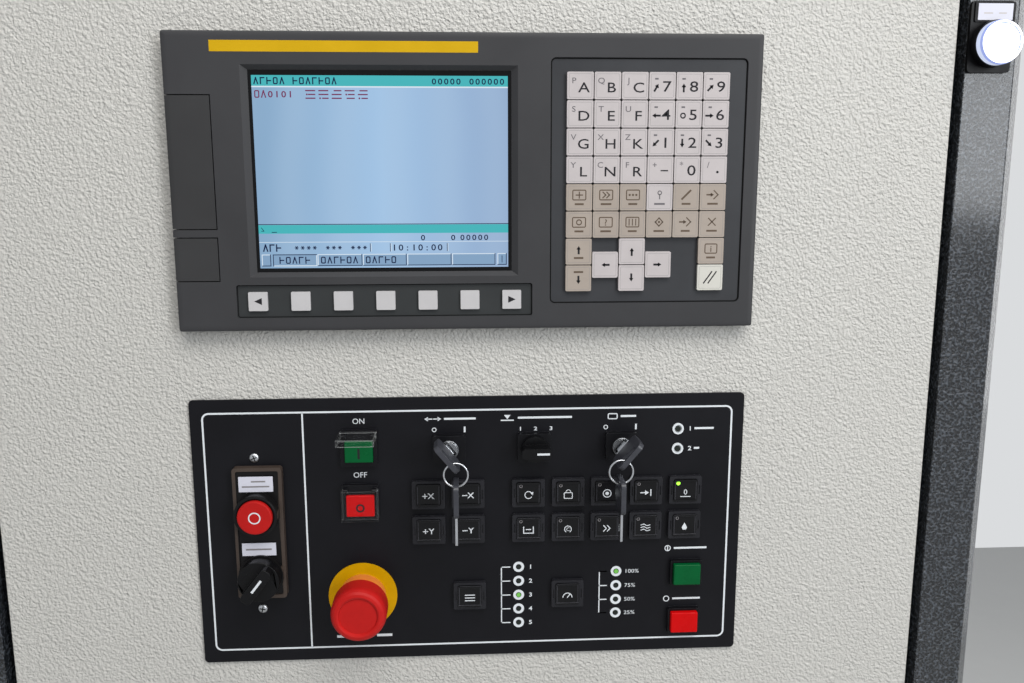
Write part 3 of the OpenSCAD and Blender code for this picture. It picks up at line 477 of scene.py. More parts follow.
for face in NODES["keypad"].data.polygons:
    spot = face.center
    face.material_index = cap_finish(spot.x / MM, spot.z / MM, (DOOR_Y - spot.y) / MM)
pick("softkey_strip", 1, lambda x, z, h: h > 10.25)
pick("display_bezel", 1, lambda x, z, h: 54 < x < 191 and 1234 < z < 1406 and 9.5 < h < 11.9)
pick("display_bezel", 3, lambda x, z, h: -162 < x < 45 and 1228 < z < 1253 and 9.3 < h < 11.9)
pick("operator_plate", 1, lambda x, z, h: h > 2.4)
pick("operator_plate", 3, lambda x, z, h: h > 2.4 and near_key(x, z))
pick("station_frame", 1, lambda x, z, h: h > 2 and in_window(x, z))
pick("station_frame", 2, lambda x, z, h: h > 8.2 and on_card(x, z))
pick("estop_collar", 1, lambda x, z, h: h > 4.0)
for name in ("key_switch_left", "key_switch_right"):
    pick(name, 1, lambda x, z, h: h < 10.6)
    pick(name, 2, lambda x, z, h: 10.6 < h < 15.9)
for name in ("spare_key_left", "spare_key_right"):
    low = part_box(name)[0].z / MM
    pick(name, 1, lambda x, z, h, low=low: z < low + 20.9)
pick("lamp_lens", 2, lambda x, z, h: 13.9 < h < 15.9)
pick("lamp_lens", 1, lambda x, z, h: h > 15.1 and math.hypot(x - LAMP_X, z - LAMP_Z) < 12.0)
pick("lamp_lens", 1, lambda x, z, h: h > 15.9)
for status_z in STATUS_Z:
    middle = (STATUS_X, PLATE_MID + status_z)
    pick("indicator_leds", 2, lambda x, z, h, middle=middle: 2.3 < math.dist((x, z), middle) < 5.0)
for middle in ((MODE_X, PLATE_MID + MODE_Z[2]), (SPEED_X, PLATE_MID + SPEED_Z[0])):
    pick("indicator_leds", 1, lambda x, z, h, m=middle: abs(x - m[0]) < 2.5 and abs(z - m[1]) < 2.5)

ease_edges(["display_bezel"], 0.3, angle=30, edge_highlight_slot=2)
ease_edges(["card_cover_upper", "card_cover_lower"], 0.35)
ease_edges(["keypad", "softkey_strip"], 0.35)
ease_edges(["operator_plate"], 0.42, edge_highlight_slot=2)
ease_edges(FRAMED_KEYS, 0.4, edge_highlight_slot=1)
ease_edges(["on_cover", "off_cover"], 0.3, edge_highlight_slot=1)
ease_edges(["on_button", "off_button", "start_button", "hold_button"], 0.8, segments=3)
ease_edges(["station_frame", "lamp_holder"], 0.4)
ease_edges(["key_switch_left", "key_switch_right", "spare_key_left", "spare_key_right"], 0.35)
ease_edges(["selector_knob", "station_knob"], 0.9, segments=3)
ease_edges(["front_frame", "cabinet_shell"], 0.8)
ease_edges(["door_panel"], 0.9)

# Printed marks


def arc_points(x, z, r, a0=0.0, a1=360.0, n=28):
    """Points of an arc in mm, from angle a0 to a1 in n steps."""
    return [(x + r * math.cos(math.radians(a0 + (a1 - a0) * i / n)),
             z + r * math.sin(math.radians(a0 + (a1 - a0) * i / n))) for i in range(n + 1)]


class Print:
    """Flat printed shapes, each a list of points in mm, gathered into one thin mesh."""

    def __init__(self, x=0.0, z=0.0):
        self.shapes = []
        self.at(x, z)

    def at(self, x, z):
        """Sets the point that the next shapes are placed from."""
        self.x, self.z = x, z
        return self

    def area(self, points):
        self.shapes.append([(self.x + px, self.z + pz) for px, pz in points])
        return self

    def rect(self, x, z, w, h):
        left, right, low, high = x - w / 2, x + w / 2, z - h / 2, z + h / 2
        return self.area([(left, low), (right, low), (right, high), (left, high)])

    def bar(self, x, z, width, height=1.3):
        """A bar in place of a short word."""
        return self.rect(x, z, width, height)

    def line(self, points, width, closed=False):
        ends = list(points) + ([points[0]] if closed else [])
        for (x0, z0), (x1, z1) in zip(ends, ends[1:]):
            long = math.hypot(x1 - x0, z1 - z0) or 1e-9
            ux, uz = (x1 - x0) / long * width / 2, (z1 - z0) / long * width / 2
            self.area([(x0 - ux + uz, z0 - uz - ux), (x1 + ux + uz, z1 + uz - ux),
                       (x1 + ux - uz, z1 + uz + ux), (x0 - ux - uz, z0 - uz + ux)])
        return self

    def disc(self, x, z, r, n=24):
        return self.area(arc_points(x, z, r, n=n)[:-1])

    def ring(self, x, z, r_out, r_in, n=28, a0=0.0, a1=360.0):
        outer = arc_points(x, z, r_out, a0, a1, n)
        inner = arc_points(x, z, r_in, a0, a1, n)
        for i in range(n):
            self.area([outer[i], outer[i + 1], inner[i + 1], inner[i]])
        return self

    def outline(self, x, z, w, h, r, width):
        """Rounded rectangle drawn as a line of the given width."""
        corners = [(x + w / 2 - r, z + h / 2 - r, 0), (x - w / 2 + r, z + h / 2 - r, 90),
                   (x - w / 2 + r, z - h / 2 + r, 180), (x + w / 2 - r, z - h / 2 + r, 270)]
        outer, inner = [], []
        for cx, cz, start in corners:
            outer += arc_points(cx, cz, r + width / 2, start, start + 90, 8)
            inner += arc_points(cx, cz, max(0.01, r - width / 2), start, start + 90, 8)
        for i in range(len(outer)):
            j = (i + 1) % len(outer)
            self.area([outer[i], outer[j], inner[j], inner[i]])
        return self

    def arrow(self, x, z, size, angle, width=0.9):
        """Arrow through (x, z) pointing at angle."""
        ca, sa = math.cos(math.radians(angle)), math.sin(math.radians(angle))
        def spot(u, v):
            return (x + u * ca - v * sa, z + u * sa + v * ca)
        self.line([spot(-size / 2, 0), spot(size * 0.1, 0)], width)
        return self.area([spot(size / 2, 0), spot(size * 0.02, size * 0.3), spot(size * 0.02, -size * 0.3)])

    def words(self, text, x, z, size, align="CENTER", stretch=1.0, bold=0.0):
        """Letters or figures, size mm high, centred in height on z."""
        for points in letter_shapes(text, size, align, bold):
            self.area([(x + px * stretch, z + pz) for px, pz in points])
        return self

    def piece(self, name, proud, finish, body="door", turn=0.0, about=(0.0, 0.0), thick=0.0):
        """Makes the shapes an object, turned by some degrees about a point and thick mm deep.

        Proud is its height in front of the door in mm, or a function that gives the height at x."""
        build = bmesh.new()
        ca, sa = math.cos(math.radians(turn)), math.sin(math.radians(turn))
        for points in self.shapes:
            area2 = sum(a[0] * b[1] - b[0] * a[1] for a, b in zip(points, points[1:] + points[:1]))
            if area2 < 0:
                points = points[::-1]
            corners = []
            for px, pz in points:
                dx, dz = px - about[0], pz - about[1]
                height = proud(px) if callable(proud) else proud
                spot = on_door(about[0] + dx * ca - dz * sa, about[1] + dx * sa + dz * ca, height)
                corners.append(build.verts.new(spot))
            build.faces.new(corners)
        if thick:
            sides = bmesh.ops.extrude_face_region(build, geom=build.faces[:])["geom"]
            back = [part for part in sides if isinstance(part, bmesh.types.BMVert)]
            bmesh.ops.translate(build, verts=back, vec=(0.0, thick * MM, 0.0))
            bmesh.ops.recalc_face_normals(build, faces=build.faces[:])
        made = mesh_object(name, build, finish)
        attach(made, body)


_letters = {}


def letter_shapes(text, size, align, bold):
    """The faces of a word in Blender's own plain font, in mm round (0, 0)."""
    key = (text, size, align, bold)
    if key not in _letters:
        curve = bpy.data.curves.new("word", "FONT")
        curve.body = text
        curve.size = size * 1.37
        curve.align_x = align
        curve.offset = bold
        curve.resolution_u = 3
        holder = bpy.data.objects.new("word", curve)
        add_to_scene(holder)
        bpy.context.view_layer.update()
        mesh = holder.evaluated_get(bpy.context.evaluated_depsgraph_get()).to_mesh()
        _letters[key] = [[(mesh.vertices[v].co.x, mesh.vertices[v].co.y - size / 2) for v in face.vertices]
                         for face in mesh.polygons]
        bpy.data.objects.remove(holder)
        bpy.data.curves.remove(curve)
    return _letters[key]


def display_z(from_top):
    """Height above the floor of a place given from the display unit's top edge, in mm."""
    return DISPLAY_TOP + from_top


def keypad_letters(big, small):
    """Letters and figures on the white caps, in an arrangement of our own."""
    letters = ["ABC", "DEF", "GHK", "LNR"]
    marks = ["PQJ", "STU", "VXZ", "YCF"]
    figures = ["789", "456", "123", " 0 "]
    for row in range(4):
        z = ROW_Z[row]
        for column in range(3):
            x = COLUMN_X[column]
            big.words(letters[row][column], x + 2.4, z - 1.0, 6.8, stretch=1.25, bold=0.06)
            small.words(marks[row][column], x - 4.4, z + 3.4, 3.9, stretch=1.15, bold=0.03)
            x = COLUMN_X[column + 3]
            if figures[row][column] != " ":
                big.words(figures[row][column], x + 3.0, z - 0.2, 7.2, stretch=1.3, bold=0.06)
    big.rect(COLUMN_X[3] + 2.8, ROW_Z[3] - 0.6, 5.2, 0.85)
    big.disc(COLUMN_X[5] + 2.6, ROW_Z[3] - 1.6, 0.9, 12)
    for row, angles in enumerate(((60, 90, 45), (180, None, 0), (225, 270, 315))):
        for column, angle in enumerate(angles):
            x = COLUMN_X[column + 3] - 4.0
            if angle is None:
                big.ring(x, ROW_Z[row] - 1.0, 2.0, 1.1)
            else:
                big.arrow(x, ROW_Z[row] - 1.0, 5.2, angle, 1.3)
            small.rect(x, ROW_Z[row] + 4.6, 2.4, 1.1)
    for column, sign in ((3, "+"), (4, "*"), (5, "/")):
        small.words(sign, COLUMN_X[column] - 4.0, ROW_Z[3] + 3.4, 4.2, bold=0.04)


def key_sign(ink, kind):
    """A plain sign of a tan key, drawn round the point that ink is at."""
    thick = 0.8
    if kind == "plus":
        ink.line([(-2.2, 0), (2.2, 0)], thick)
        ink.line([(0, -2), (0, 2)], thick)
    elif kind == "chevron":
        for dx in (-2.2, 0.4):
            ink.line([(dx, 1.9), (dx + 1.9, 0), (dx, -1.9)], thick)
    elif kind == "dots":
        for dx in (-2.3, 0, 2.3):
            ink.disc(dx, 0, 0.8, 12)
    elif kind == "up":
        ink.ring(0, 1.4, 1.6, 0.9, 20)
        ink.line([(0, -2.6), (0, -0.1)], thick)
    elif kind == "slash":
        ink.line([(-2.8, -2.8), (2.8, 2.8)], 1.3)
    elif kind == "in":
        ink.arrow(-1.6, 0, 4.8, 0, 1.0)
        ink.line([(0.8, 2.8), (3.6, 0), (0.8, -2.8)], thick)
    elif kind == "ring":
        ink.ring(0, 0, 2.1, 1.3, 20)
    elif kind == "ask":
        ink.words("?", 0, 0, 4.4, bold=0.08)
    elif kind == "grid":
        for dx in (-2.3, 0, 2.3):
            ink.line([(dx, -2), (dx, 2)], 0.7)
    elif kind == "swap":
        ink.line([(-2.6, 0), (0, 2.8), (2.6, 0), (0, -2.8)], thick, closed=True)
        ink.disc(0, 0, 0.8, 12)
    elif kind == "cross":
        ink.line([(-2.4, -2.4), (2.4, 2.4)], thick)
        ink.line([(-2.4, 2.4), (2.4, -2.4)], thick)


KEY_SIGNS = {(0, 4): "plus", (1, 4): "chevron", (2, 4): "dots", (3, 4): "up", (4, 4): "slash", (5, 4): "in",
             (0, 5): "ring", (1, 5): "ask", (2, 5): "grid", (3, 5): "swap", (4, 5): "in", (5, 5): "cross"}


def keypad_signs(big, small, brown):
    """Signs over bars on the tan keys, and arrows on the page and cursor keys."""
    for (column, row), kind in KEY_SIGNS.items():
        x, z = COLUMN_X[column], ROW_Z[row]
        ink = small if kind == "up" else brown
        ink.bar(x, z - 4.6, 7.4 if column % 2 else 6.2)
        if column < 3:
            ink.outline(x, z + 1.6, 9.0, 6.6, 0.8, 0.75)
        key_sign(ink.at(x, z + 1.6), kind)
        ink.at(0, 0)
    for row, angle, side in ((6, 90, 1), (7, 270, -1)):
        big.arrow(COLUMN_X[0], ROW_Z[row] + side * 1.4, 5.0, angle, 1.4)
        brown.bar(COLUMN_X[0], ROW_Z[row] - side * 4.4, 6.6)
        big.arrow(COLUMN_X[2], ROW_Z[row], 5.0, angle, 1.4)
    big.arrow(COLUMN_X[1], CURSOR_Z, 5.0, 180, 1.4)
    big.arrow(COLUMN_X[3], CURSOR_Z, 5.0, 0, 1.4)
    x, z = COLUMN_X[5], ROW_Z[6]
    brown.outline(x, z + 1.6, 8.4, 6.4, 0.8, 0.75)
    brown.words("i", x, z + 1.6, 4.4, bold=0.1)
    brown.bar(x, z - 4.6, 6.2)
    z = ROW_Z[7]
    for dx in (-1.6, 1.6):
        big.line([(x + dx - 2.7, z - 3.9), (x + dx + 2.7, z + 3.9)], 0.9)


def key_gap_shade():
    """Painted shade: dark strips that fill the narrow gaps between the caps."""
    dark = Print()
    half, gap, cap, reach = CAP_PITCH / 2, 0.7, 17.6, 9.0
    right, low = COLUMN_X[5] + reach, ROW_Z[5] - reach
    left, high = COLUMN_X[0] - reach, ROW_Z[0] + reach
    for x in COLUMN_X[:5]:
        dark.rect(x + half, (low + high) / 2, gap, high - low)
    for z in ROW_Z[:5]:
        dark.rect((left + right) / 2, z - half, right - left, gap)
    for column in (0, 2, 5):
        for z in ROW_Z[5:7]:
            dark.rect(COLUMN_X[column], z - half, cap, gap)
    for x in COLUMN_X[:3]:
        dark.rect(x + half, CURSOR_Z, gap, cap)
    return dark


def keypad_legends():
    """All print of the keypad, the fine lines round its caps and the painted shade in the gaps between them.
    """
    big, small, brown, fine = Print(), Print(), Print(), Print()
    keypad_letters(big, small)
    keypad_signs(big, small, brown)
    cells = [(x, z) for z in ROW_Z[:6] for x in COLUMN_X]
    cells += [(COLUMN_X[i], z) for i in (0, 2, 5) for z in ROW_Z[6:]]
    cells += [(COLUMN_X[1], CURSOR_Z), (COLUMN_X[3], CURSOR_Z)]
    for x, z in cells:
        fine.outline(x, z, 15.4, 15.4, 0.7, 0.16)
    big.piece("keypad_big_legends", 13.64, black_print)
    small.piece("keypad_small_legends", 13.64, key_ink)
    brown.piece("keypad_brown_legends", 13.64, brown_print)
    fine.piece("keypad_cap_lines", 13.62, grey_print)
    # Painted shade in the gaps between the caps.
    key_gap_shade().piece("keypad_gap_shade", 12.7, rubber_and_painted_shade)
    edge = Print().outline(123.15, display_z(-99.2), 133.6, 165.3, 3.0, 0.9)
    edge.piece("keypad_edge_shadow", 10.84, rubber_and_painted_shade)


def display_marks():
    """The bare yellow strip, the soft-key arrows and a painted shade line round the soft keys."""
    Print().rect(-81.2, display_z(-9.9), 176.5, 7.2).piece("name_strip_bare", 12.06, strip_yellow)
    arrows = Print()
    z = display_z(-179.2)
    arrows.area([(-148.6, z), (-143.4, z + 2.4), (-143.4, z - 2.4)])
    arrows.area([(31.9, z), (26.7, z - 2.4), (26.7, z + 2.4)])
    arrows.piece("softkey_arrows", 12.15, black_print)
    # Painted shade: a dark line in the gap round the soft keys.
    edge = Print().outline(-58.4, display_z(-179.3), 203.2, 22.0, 1.2, 0.6)
    edge.piece("softkey_edge_shade", 10.24, rubber_and_painted_shade)


def strokes(ink, x, z, count, step, height, width, seed):
    """Short strokes in a row, like a word seen from far away."""
    wide = height * 0.62
    for i in range(count):
        u = x + i * step
        kind = (i * 7 + seed * 5) % 4
        if kind == 0:
            ink.line([(u, z - height / 2), (u, z + height / 2)], width)
            ink.line([(u, z + height / 2), (u + wide, z + height / 2)], width)
        elif kind == 1:
            ink.line([(u, z - height / 2), (u + wide / 2, z + height / 2), (u + wide, z - height / 2)], width)
        elif kind == 2:
            ink.outline(u + wide / 2, z, wide, height, 0.6, width)
        else:
            ink.line([(u, z - height / 2), (u, z + height / 2)], width)
            ink.line([(u, z), (u + wide, z)], width)


def block_sign(ink, x, z, size, seed):
    """A dense sign round (x, z): three bars of different length, with a dot where a bar is short."""
    half, thin = size / 2, 0.8
    starts = ((-1.0, -0.4, -1.0), (-1.0, -1.0, -0.2), (-0.5, -1.0, -1.0),
              (-1.0, -0.3, -0.6), (-0.6, -1.0, -0.2))[seed]
    for start, up in zip(starts, (0.85, 0.0, -0.85)):
        ink.line([(x + half * start, z + half * up), (x + half, z + half * up)], thin)
        if start > -0.5:
            ink.disc(x - half * 0.8, z + half * up, 0.6, 10)


def spaced(ink, text, x, z, size, pitch):
    """Figures set at an even pitch, starting round x."""
    for i, letter in enumerate(text):
        ink.words(letter, x + i * pitch, z, size, stretch=1.15, bold=0.09)


def screen_picture():
    """The lit picture: bars, boxes, rows of short strokes in place of words, and a plain clock."""
    corner = (-143.8, display_z(-156.6))
    wide, top = 170.7, 128.5
    middle = wide / 2
    glass = 9.0
    field = Print(*corner).rect(middle, top / 2, wide, top)
    field.piece("screen_field", glass + 0.05, lit_field)
    teal = Print(*corner)
    teal.rect(middle, top - 3.5, wide, 7.0)
    teal.rect(middle, 26.6, wide, 5.8)
    teal.piece("screen_bars", glass + 0.07, lit_teal)
    pale, ink, plum, box = (Print(*corner) for _ in range(4))
    pale.rect(middle, top - 7.4, wide, 0.9)
    ink.rect(middle, 29.9, wide, 0.5)
    pale.rect(middle, 17.8, wide, 0.35)
    for start, count, seed in ((1.8, 5, 1), (27.6, 7, 3)):
        strokes(ink, start, top - 3.6, count, step=4.3, height=3.8, width=0.8, seed=seed)
    for back, text in ((49.6, "00000"), (24.4, "000000")):
        spaced(ink, text, wide - back, top - 3.6, 3.9, 4.1)
    strokes(plum, 2.0, top - 12.2, 2, step=4.4, height=4.2, width=0.74, seed=2)
    spaced(plum, "0101", 12.2, top - 12.2, 4.2, 4.4)
    for i in range(5):
        block_sign(plum, 38.6 + i * 8.7, top - 12.4, 5.8, i)
    ink.line([(2.0, 27.6), (3.6, 25.4), (2.0, 25.4)], 0.4)
    ink.line([(9.0, 24.6), (12.0, 24.6)], 0.5)
    ink.words("0", 111.8, 20.6, 3.8, stretch=1.15, bold=0.09)
    for start, text in ((132.6, "0"), (139.0, "00000")):
        spaced(ink, text, start, 20.6, 3.8, 4.1)
    row = 13.9
    strokes(ink, 2.8, row, 3, step=4.4, height=4.2, width=0.9, seed=5)
    for start, count in ((25.2, 4), (46.4, 3), (63.6, 3)):
        for i in range(count):
            u = start + i * 4.1
            for angle in (0, 60, 120):
                ca, sa = math.cos(math.radians(angle)) * 1.1, math.sin(math.radians(angle)) * 1.1
                ink.line([(u - ca, row - sa), (u + ca, row + sa)], 0.55)
    spaced(ink, "10:10:00", 92.0, row, 4.3, 4.5)
    for u in (75.5, 89.2, 128.4):
        ink.line([(u, row - 2.6), (u, row + 2.6)], 0.45)
        pale.line([(u + 0.6, row - 2.6), (u + 0.6, row + 2.6)], 0.35)
    # Bottom row of soft-key boxes: a narrow one at each end and five wide ones
    low, high = 1.6, 9.2
    edges = [(1.5, 7.2), (9.0, 38.5), (39.5, 69.5), (70.5, 100.0), (101.0, 131.0), (132.0, 161.5),
             (163.5, 169.4)]
    for i, (a, b) in enumerate(edges):
        box.rect((a + b) / 2, (low + high) / 2, b - a, high - low)
        light, dark = (ink, pale) if i == 1 else (pale, ink)
        light.line([(a, low), (a, high), (b, high)], 0.55)
        dark.line([(a, low), (b, low), (b, high)], 0.55)
    for start, count, seed in ((13.5, 5, 3), (41.8, 6, 6), (72.5, 5, 2)):
        strokes(ink, start, (low + high) / 2, count, step=4.4, height=4.0, width=0.78, seed=seed)
    ink.line([(166.4, low + 1.6), (166.4, high - 1.6)], 0.5)
    box.piece("screen_boxes", glass + 0.07, lit_box)
    pale.piece("screen_light_lines", glass + 0.11, lit_pale)
    ink.piece("screen_ink", glass + 0.13, lit_ink)
    plum.piece("screen_message_row", glass + 0.13, lit_plum)


def bracket(ink, stem, tips, rows):
    """A line down at stem from the first row to the last, turned to the tips at both ends."""
    ink.line([(tips, rows[0]), (stem, rows[0]), (stem, rows[-1]), (tips, rows[-1])], 0.8)


def plate_marks():
    """White print on the operator plate: frame line, headings, brackets, rings and figures."""
    ink = Print(0, PLATE_MID)
    ink.outline(0, -0.1, 384, 182.2, 4.5, 1.3)
    ink.line([(-121.3, -90.4), (-121.3, 90.2)], 1.2)
    ink.words("ON", BUTTON_X, 84.0, 4.2).words("OFF", BUTTON_X, 43.6, 4.2)
    # Key switches: open ring and short bar; selector: three figures
    for x in (-26.9, 98.6):
        ink.ring(x, 76.5, 1.7, 1.1)
    for x in (-4.8, 120.9):
        ink.line([(x, 75.0), (x, 78.0)], 1.3)
    for x, figure in ((35.9, "1"), (46.9, "2"), (58.3, "3")):
        ink.words(figure, x, 76.4, 2.9, stretch=1.25, bold=0.1)
    # Headings: a plain sign and a bar in place of the words
    ink.arrow(-31.2, 84.6, 5.4, 180, 0.8)
    ink.arrow(-24.4, 84.6, 5.4, 0, 0.8)
    ink.bar(-8.2, 84.6, 23.0, 1.5)
    ink.line([(22.0, 82.8), (30.6, 82.8)], 0.9)
    ink.area([(23.9, 86.8), (28.7, 86.8), (26.3, 83.6)])
    ink.bar(53.8, 84.6, 39.6, 1.5)
    ink.outline(103.6, 84.6, 6.6, 3.8, 0.8, 0.8)
    ink.bar(115.2, 84.6, 11.4, 1.5)
    # Bars in place of the words under the emergency stop
    ink.bar(-66.8, -82.7, 11.5, 2.0)
    ink.bar(-99.5, -83.0, 5.6, 2.0)
    # Status rings with a short sign beside each
    for figure, z in zip("12", STATUS_Z):
        ink.words(figure, 161.4, z, 3.4, stretch=1.2, bold=0.08)
    ink.bar(171.8, STATUS_Z[0], 14.4, 1.5)
    ink.bar(166.6, STATUS_Z[1], 4.0, 1.5)
    # Mode key's column
    stem, tips = 21.5, 27.9
    bracket(ink, stem, tips, MODE_Z)
    for i, z in enumerate(MODE_Z):
        ink.ring(MODE_X, z, 4.1, 2.1)
        ink.words(str(i + 1), 43.5, z, 3.3, stretch=1.2, bold=0.08)
        if 0 < i < 4:
            ink.line([(stem, z), (tips, z)], 0.8)
    # Speed key's column
    stem, tips = 95.6, 101.0
    bracket(ink, stem, tips, SPEED_Z)
    for z, share in zip(SPEED_Z, ("100%", "75%", "50%", "25%")):
        ink.ring(SPEED_X, z, 4.1, 2.1)
        ink.words(share, 114.6, z, 3.1, align="LEFT", stretch=1.2)
        ink.line([(stem, z), (tips, z)], 0.8)
    # Start and hold
    ink.ring(147.2, -18.8, 2.4, 1.7)
    ink.line([(147.2, -20.2), (147.2, -17.4)], 0.8)
    ink.bar(164.4, -18.8, 25.0, 1.5)
    ink.ring(147.2, -59.5, 2.4, 1.7)
    ink.bar(162.6, -59.5, 21.4, 1.5)
    ink.piece("plate_print", 2.06, white_print)


def switch_marks():
    """White lines on the knobs, marks on caps and the ring sign on the round stop button."""
    line = Print().rect(51.0, PLATE_MID + SWITCH_Z, 9.0, 1.5)
    line.piece("selector_line", 23.9, white_print, "selector_knob")
    knob = (KNOB_X, PLATE_MID + KNOB_Z)
    line = Print().rect(KNOB_X + 1.0, knob[1], 11.5, 1.7)
    line.piece("station_knob_line", 28.9, white_print, "station_knob", 52, knob)
    ring = Print().ring(STATION_X, PLATE_MID + STOP_Z, 4.4, 3.5, 40)
    ring.piece("stop_ring_sign", 18.05, white_print, "station_stop_button")
    for body, up in BUTTON_Z.items():
        sign = Print(BUTTON_X, PLATE_MID + up)
        if body == "on_button":
            sign.line([(0, -4.4), (0, 1.8)], 1.6)
        else:
            sign.ring(0, -1.4, 3.2, 1.9)
        sign.piece(body + "_sign", 8.04, black_print, body)


def dish(middle, lift=0.04):
    """Height over x of a print on a framed key's hollowed top, for a cap whose middle is given."""
    top = DISH_FLOOR + DISH_RADIUS
    return lambda x: top - math.sqrt(DISH_RADIUS ** 2 - (x - middle) ** 2) + lift


def key_rim_highlight(name, x, z, body):
    """Painted highlight: a fine light line that edges the hollowed top of a framed key."""
    Print().outline(x, z, 15.6, 14.6, 1.0, 0.28).piece(name, dish(x), cap_line, body)


def jog_legends():
    """A sign and an axis letter on each jog key."""
    for (letter, (x, up)), text in zip(JOG_KEYS.items(), ("+X", "-X", "+Y", "-Y")):
        z = PLATE_MID + up
        key_rim_highlight("jog_rim_highlight_" + letter, x, z, "jog_key_" + letter)
        sign = Print(x, z)
        sign.words(text[1], 1.9, -0.4, 4.4, stretch=1.1, bold=0.08)
        sign.line([(-4.0, -0.6), (-1.0, -0.6)], 0.75)
        if text[0] == "+":
            sign.line([(-2.5, -2.1), (-2.5, 0.9)], 0.75)
        sign.piece("jog_legend_" + letter, dish(x), white_print, "jog_key_" + letter)


def function_sign(letter, x, z):
    """The plain sign of a function key, drawn round (x, z)."""
    sign = Print(x, z)
    if letter == "a":
        sign.ring(0, 0, 3.0, 2.4, 20, 30, 330)
        sign.area([(3.6, 2.4), (1.2, 1.6), (3.0, -0.2)])
    elif letter == "b":
        sign.outline(0, -1.0, 6.0, 4.4, 0.6, 0.6).ring(0, 1.6, 2.0, 1.5, 16, 0, 180)
    elif letter == "c":
        sign.disc(0, 0, 1.3).ring(0, 0, 3.2, 2.6)
    elif letter == "d":
        sign.arrow(-1.0, 0, 6.0, 0, 0.8).line([(3.4, -2.2), (3.4, 2.2)], 0.8)
    elif letter == "e":
        sign.words("0", 0, 0, 4.2).line([(-3.6, -3.6), (3.6, -3.6)], 0.6)
    elif letter == "f":
        sign.line([(-3.6, 2.4), (-3.6, -2.4), (3.6, -2.4), (3.6, 2.4)], 0.7)
        sign.line([(-1.6, 0.4), (1.6, 0.4)], 0.7)
    elif letter == "g":
        sign.ring(0, 0, 2.8, 2.2, 18, -60, 240).words("C", 0, 0, 2.8)
    elif letter == "h":
        for dx in (-2.2, 0.6):
            sign.line([(dx, 2.2), (dx + 2.0, 0), (dx, -2.2)], 0.7)
    elif letter == "i":
        for dz in (-2.0, 0.0, 2.0):
            sign.line([(-3.4, dz), (-1.2, dz + 0.7), (1.2, dz - 0.7), (3.4, dz)], 0.55)
    else:
        sign.area([(0, 3.2), (-2.0, -0.6), (-1.2, -2.4), (1.2, -2.4), (2.0, -0.6)])
    return sign


def function_legends():
    """A plain sign of its own on each function key."""
    for letter, (x, up) in FUNCTION_KEYS.items():
        z = PLATE_MID + up
        key_rim_highlight("function_rim_highlight_" + letter, x, z, "function_key_" + letter)
        sign = function_sign(letter, x, z - SIGN_DROP)
        sign.piece("function_legend_" + letter, dish(x), white_print, "function_key_" + letter)


def choice_legends():
    """Three lines on the mode key and a dial on the speed key."""
    for body, (x, up) in CHOICE_KEYS.items():
        z = PLATE_MID + up
        # The line round this key's hollowed top is a painted highlight.
        key_rim_highlight(body + "_line", x, z, body)
        sign = Print(x, z - SIGN_DROP)
        if body == "mode_key":
            for dz in (-2.2, 0.0, 2.2):
                sign.line([(-3.4, dz), (3.4, dz)], 0.7)
        else:
            sign.ring(0, -1.6, 3.8, 3.1, 18, 0, 180).line([(0, -1.6), (2.0, 1.2)], 0.7)
        sign.piece(body + "_legend", dish(x), white_print, body)


def key_lamps():
    """The small lamp in the upper left corner of each function key; the fifth is lit."""
    for letter, (middle, up) in FUNCTION_KEYS.items():
        spot = Print(middle - LAMP_CORNER, PLATE_MID + up + LAMP_CORNER)
        if letter == "e":
            spot.disc(0, 0, 1.5, 20)
        else:
            spot.ring(0, 0, 1.2, 0.8, 16)
        finish = led_bright if letter == "e" else grey_print
        spot.piece("key_lamp_" + letter, dish(middle, 0.08), finish, "function_key_" + letter)


# Small fittings


def turned(name, x, z, profile, finish, body="door"):
    """A turned fitting round an axis square to the door: profile is a list of radius and height in mm."""
    sides = 40
    build = bmesh.new()
    rings = []
    for radius, height in profile:
        if radius < 0.001:
            rings.append([build.verts.new(on_door(x, z, height))])
        else:
            rings.append([build.verts.new(on_door(x + radius * math.cos(2 * math.pi * i / sides),
                                                  z + radius * math.sin(2 * math.pi * i / sides), height))
                          for i in range(sides)])
    for low, high in zip(rings, rings[1:]):
        for i in range(sides):
            j = (i + 1) % sides
            if len(high) == 1:
                build.faces.new((low[i], low[j], high[0]))
            elif len(low) == 1:
                build.faces.new((low[0], high[j], high[i]))
            else:
                build.faces.new((low[i], low[j], high[j], high[i]))
    for face in build.faces:
        face.smooth = True
    made = mesh_object(name, build, finish)
    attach(made, body)


def labels():
    """White cards of the station and the lamp, with faint bars in place of words."""
    low_card = PLATE_MID - 9.5
    Print().rect(STATION_X, low_card, 24.3, 9.6).piece("station_card_lower", 8.46, label_white, thick=0.44)
    bars = Print(0, PLATE_MID).bar(-153.4, 42.0, 10.2, 1.1).bar(-155.4, 38.2, 19.5, 1.1)
    bars.piece("station_card_upper_bars", 8.45, grey_print)
    Print().bar(-155.4, low_card, 18.5).piece("station_card_lower_bars", 8.50, grey_print)
    Print(0, LAMP_Z).rect(364.7, 21.5, 24.7, 11.0).piece("lamp_card", 4.3, label_white, "cabinet", thick=0.28)
    bars = Print(0, LAMP_Z).bar(359.6, 20.6, 6.4, 0.9).bar(369.8, 20.6, 5.6, 0.9)
    bars.piece("lamp_card_bars", 4.34, pale_ink, "cabinet")


